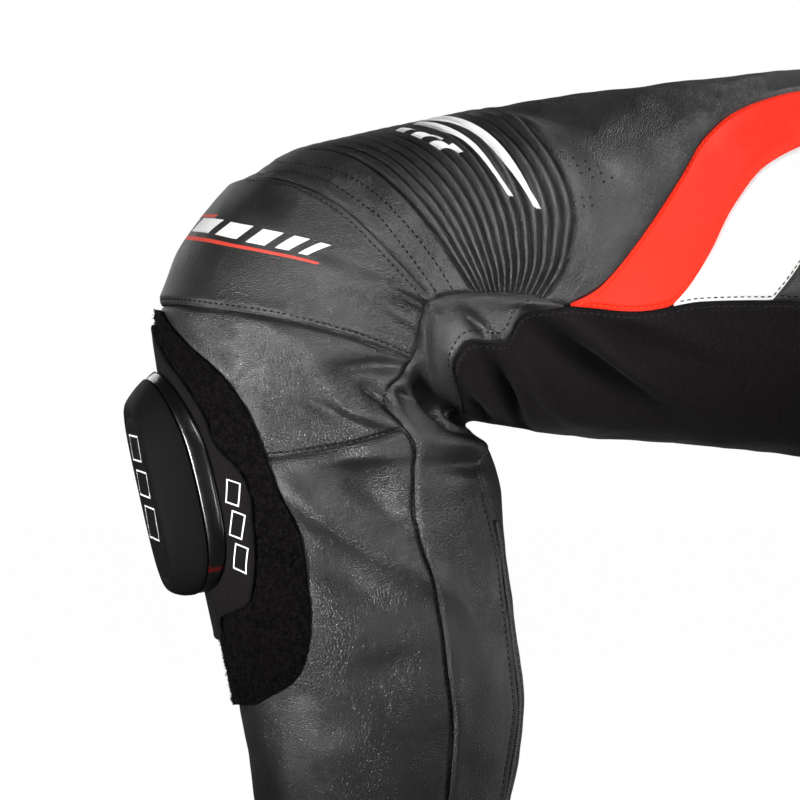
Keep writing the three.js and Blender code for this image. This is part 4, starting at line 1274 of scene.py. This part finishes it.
def build_pads(side, tag):
    """The loop pad with its hairs, and the slider's flap with the fuzz that shows round its rim."""
    spacing = FINE if side > 0 else COARSE
    pile = Patch(strip(*PILE_ENDS, seam(PILE_INNER), seam(PILE_OUTER)), spacing * 0.7)
    fuzz = 0.55 * soft_noise(pile.skin, 5) + 0.35 * soft_noise(pile.skin, 2.6)
    panel("pile_" + tag, pile, side, LOOPS, fuzz, 2.0, 0.4)
    if side > 0:
        random = np.random.default_rng(7)
        row = random.integers(1, pile.u.shape[0] - 1, LOOP_COUNT)
        column = random.integers(1, pile.u.shape[1] - 1, LOOP_COUNT)
        places = pile.outer[row, column] + random.normal(size=(LOOP_COUNT, 3)) * 0.3
        tufts("pile_loops_" + tag, places, pile.normal[row, column], side, 3)
    flap = Patch(strip(*FLAP_ENDS, seam(FLAP_INNER), seam(FLAP_OUTER)), spacing)
    roll = seam_roll(flap, 0.7, 1.0, 0.2)
    panel("slider_flap_" + tag, flap, side, FLAP_CLOTH, roll, 2.0, 3.2)
    rim = [evenly(*edge_line(flap, edge, 0.8), 0.7) for edge in ("left", "right")]
    points, _, normals = (np.concatenate([part[k] for part in rim]) for k in range(3))
    tufts("flap_fuzz_" + tag, points - normals * 0.6, normals, side, 5)


def build_half(side, tag):
    """One half of the trousers: panels, stitches, pads, puck and zip."""
    patches = half_patches(side)
    for name, patch in patches.items():
        material, slot = FINISHES.get(name, (BLACK_HIDE, "black_leather"))
        thick = STRETCH if name in WOVEN else LEATHER
        height = panel_height(name, patch)
        panel(f"{name}_{tag}", patch, side, material, height, thick, -thick)
    for name, rows in STITCH_LINES.items():
        patch = patches[name]
        lines = [edge_line(patch, edge, distance) for edge, distance in rows]
        lines += [level_line(patch, lined(patch, table), 0, 0) for table in QUILTING.get(name, ())]
        stitch(f"{name}_stitches_{tag}", lines, side, THREADS.get(name, BLACK_THREAD))
    build_pads(side, tag)
    build_puck(side, tag)
    build_zip(side, tag, patches["calf_zip"])


build_half(1, "left")
build_half(-1, "right")
build_waist()

# ---- Camera, light and floor ----
EYE = (2.300, -0.3894, -0.2580)
LENS = 177.5
FLOOR = -0.602
FLOOR_RADIUS = 9.0


def link(name, data, place):
    obj = bpy.data.objects.new(name, data)
    obj.location = place
    bpy.context.scene.collection.objects.link(obj)
    return obj


camera = link("camera", bpy.data.cameras.new("camera"), EYE)
camera.data.lens = LENS
camera.data.sensor_width = 36
camera.data.clip_end = 50
camera.rotation_euler = (math.radians(90), 0, math.radians(90))
bpy.context.scene.camera = camera


def lamp(name, place, target, size, watts, spread):
    """A softbox turned to its target; a narrow spread in degrees stands for a grid in front of it."""
    data = bpy.data.lights.new(name, "AREA")
    data.shape = "RECTANGLE"
    data.size, data.size_y = size
    data.energy = watts
    data.spread = math.radians(spread)
    obj = link(name, data, place)
    obj.rotation_euler = (Vector(target) - obj.location).to_track_quat("-Z", "Y").to_euler()
    obj.visible_camera = False


KNEE = (0.15, -0.38, -0.20)
SHIN = (0.15, -0.44, -0.30)
THIGH = (0.15, -0.32, -0.11)
lamp("front_grid", (1.36, -0.29, 0.18), THIGH, (0.5, 0.3), 0.35, 34)
lamp("low_grid", (1.11, -0.22, -0.44), (0.15, -0.37, -0.17), (0.3, 0.08), 0.10, 20)
lamp("left_grid", (0.85, -1.14, -0.47), SHIN, (0.3, 0.2), 0.50, 24)
lamp("right_grid", (0.91, 0.55, -0.37), KNEE, (0.5, 0.35), 0.22, 30)
lamp("right_high", (0.46, 0.50, 0.72), KNEE, (0.6, 0.6), 1.8, 60)
lamp("right_side", (-0.30, 0.86, -0.28), SHIN, (0.3, 0.6), 0.42, 60)
lamp("right_fill", (1.24, 0.33, 0.26), THIGH, (0.5, 0.4), 0.17, 50)
lamp("back_soft", (-1.6, 0.9, 0.9), (0, -0.1, -0.2), (1.2, 1.2), 16, 180)
lamp("far_soft", (-1.5, -1.5, 0.5), (-0.1, -0.3, -0.2), (1.2, 1.2), 9, 180)
world = bpy.data.worlds.new("studio")
world.use_nodes = True
sky = world.node_tree.nodes
seen = sky.new("ShaderNodeLightPath")
strength = sky.new("ShaderNodeMapRange")  # the sky is white to the camera and nearly dark to the cloth
strength.inputs["To Min"].default_value = 0.02
strength.inputs["To Max"].default_value = 1.0
world.node_tree.links.new(seen.outputs["Is Camera Ray"], strength.inputs["Value"])
world.node_tree.links.new(strength.outputs[0], sky["Background"].inputs["Strength"])
sky["Background"].inputs["Color"].default_value = (1, 1, 1, 1)
bpy.context.scene.world = world
bpy.context.scene.view_settings.view_transform = "Standard"


def floor():
    """A pale floor, level and round, that glows white to the camera alone."""
    turn = np.arange(48) / 48 * 2 * math.pi
    radius = np.array([[0.01], [1.0], [FLOOR_RADIUS]])
    x, y = radius * np.cos(turn), radius * np.sin(turn)
    vertices = np.stack([x, y, np.full(x.shape, FLOOR)], -1)
    around_it = np.concatenate([vertices, vertices[:, :1]], 1)
    shader = Shader("paper")
    grain = shader.tint(shader.noise(60, 2), (0.14, 0.14, 0.14, 1), (0.16, 0.16, 0.16, 1))
    paper = shader.node("ShaderNodeBsdfDiffuse", {}, {"Color": grain})
    glow = shader.node("ShaderNodeEmission", {}, {"Color": (1, 1, 1, 1), "Strength": 1.1})
    seen_first = shader.node("ShaderNodeLightPath", output="Is Camera Ray")
    both = shader.node("ShaderNodeMixShader", {}, {0: seen_first * 0.9, 1: paper, 2: glow})
    shader.node("ShaderNodeOutputMaterial", {}, {0: both})
    mesh_object("floor", around_it.reshape(-1, 3), grid_faces(3, 49)[:, ::-1], shader.material)


floor()
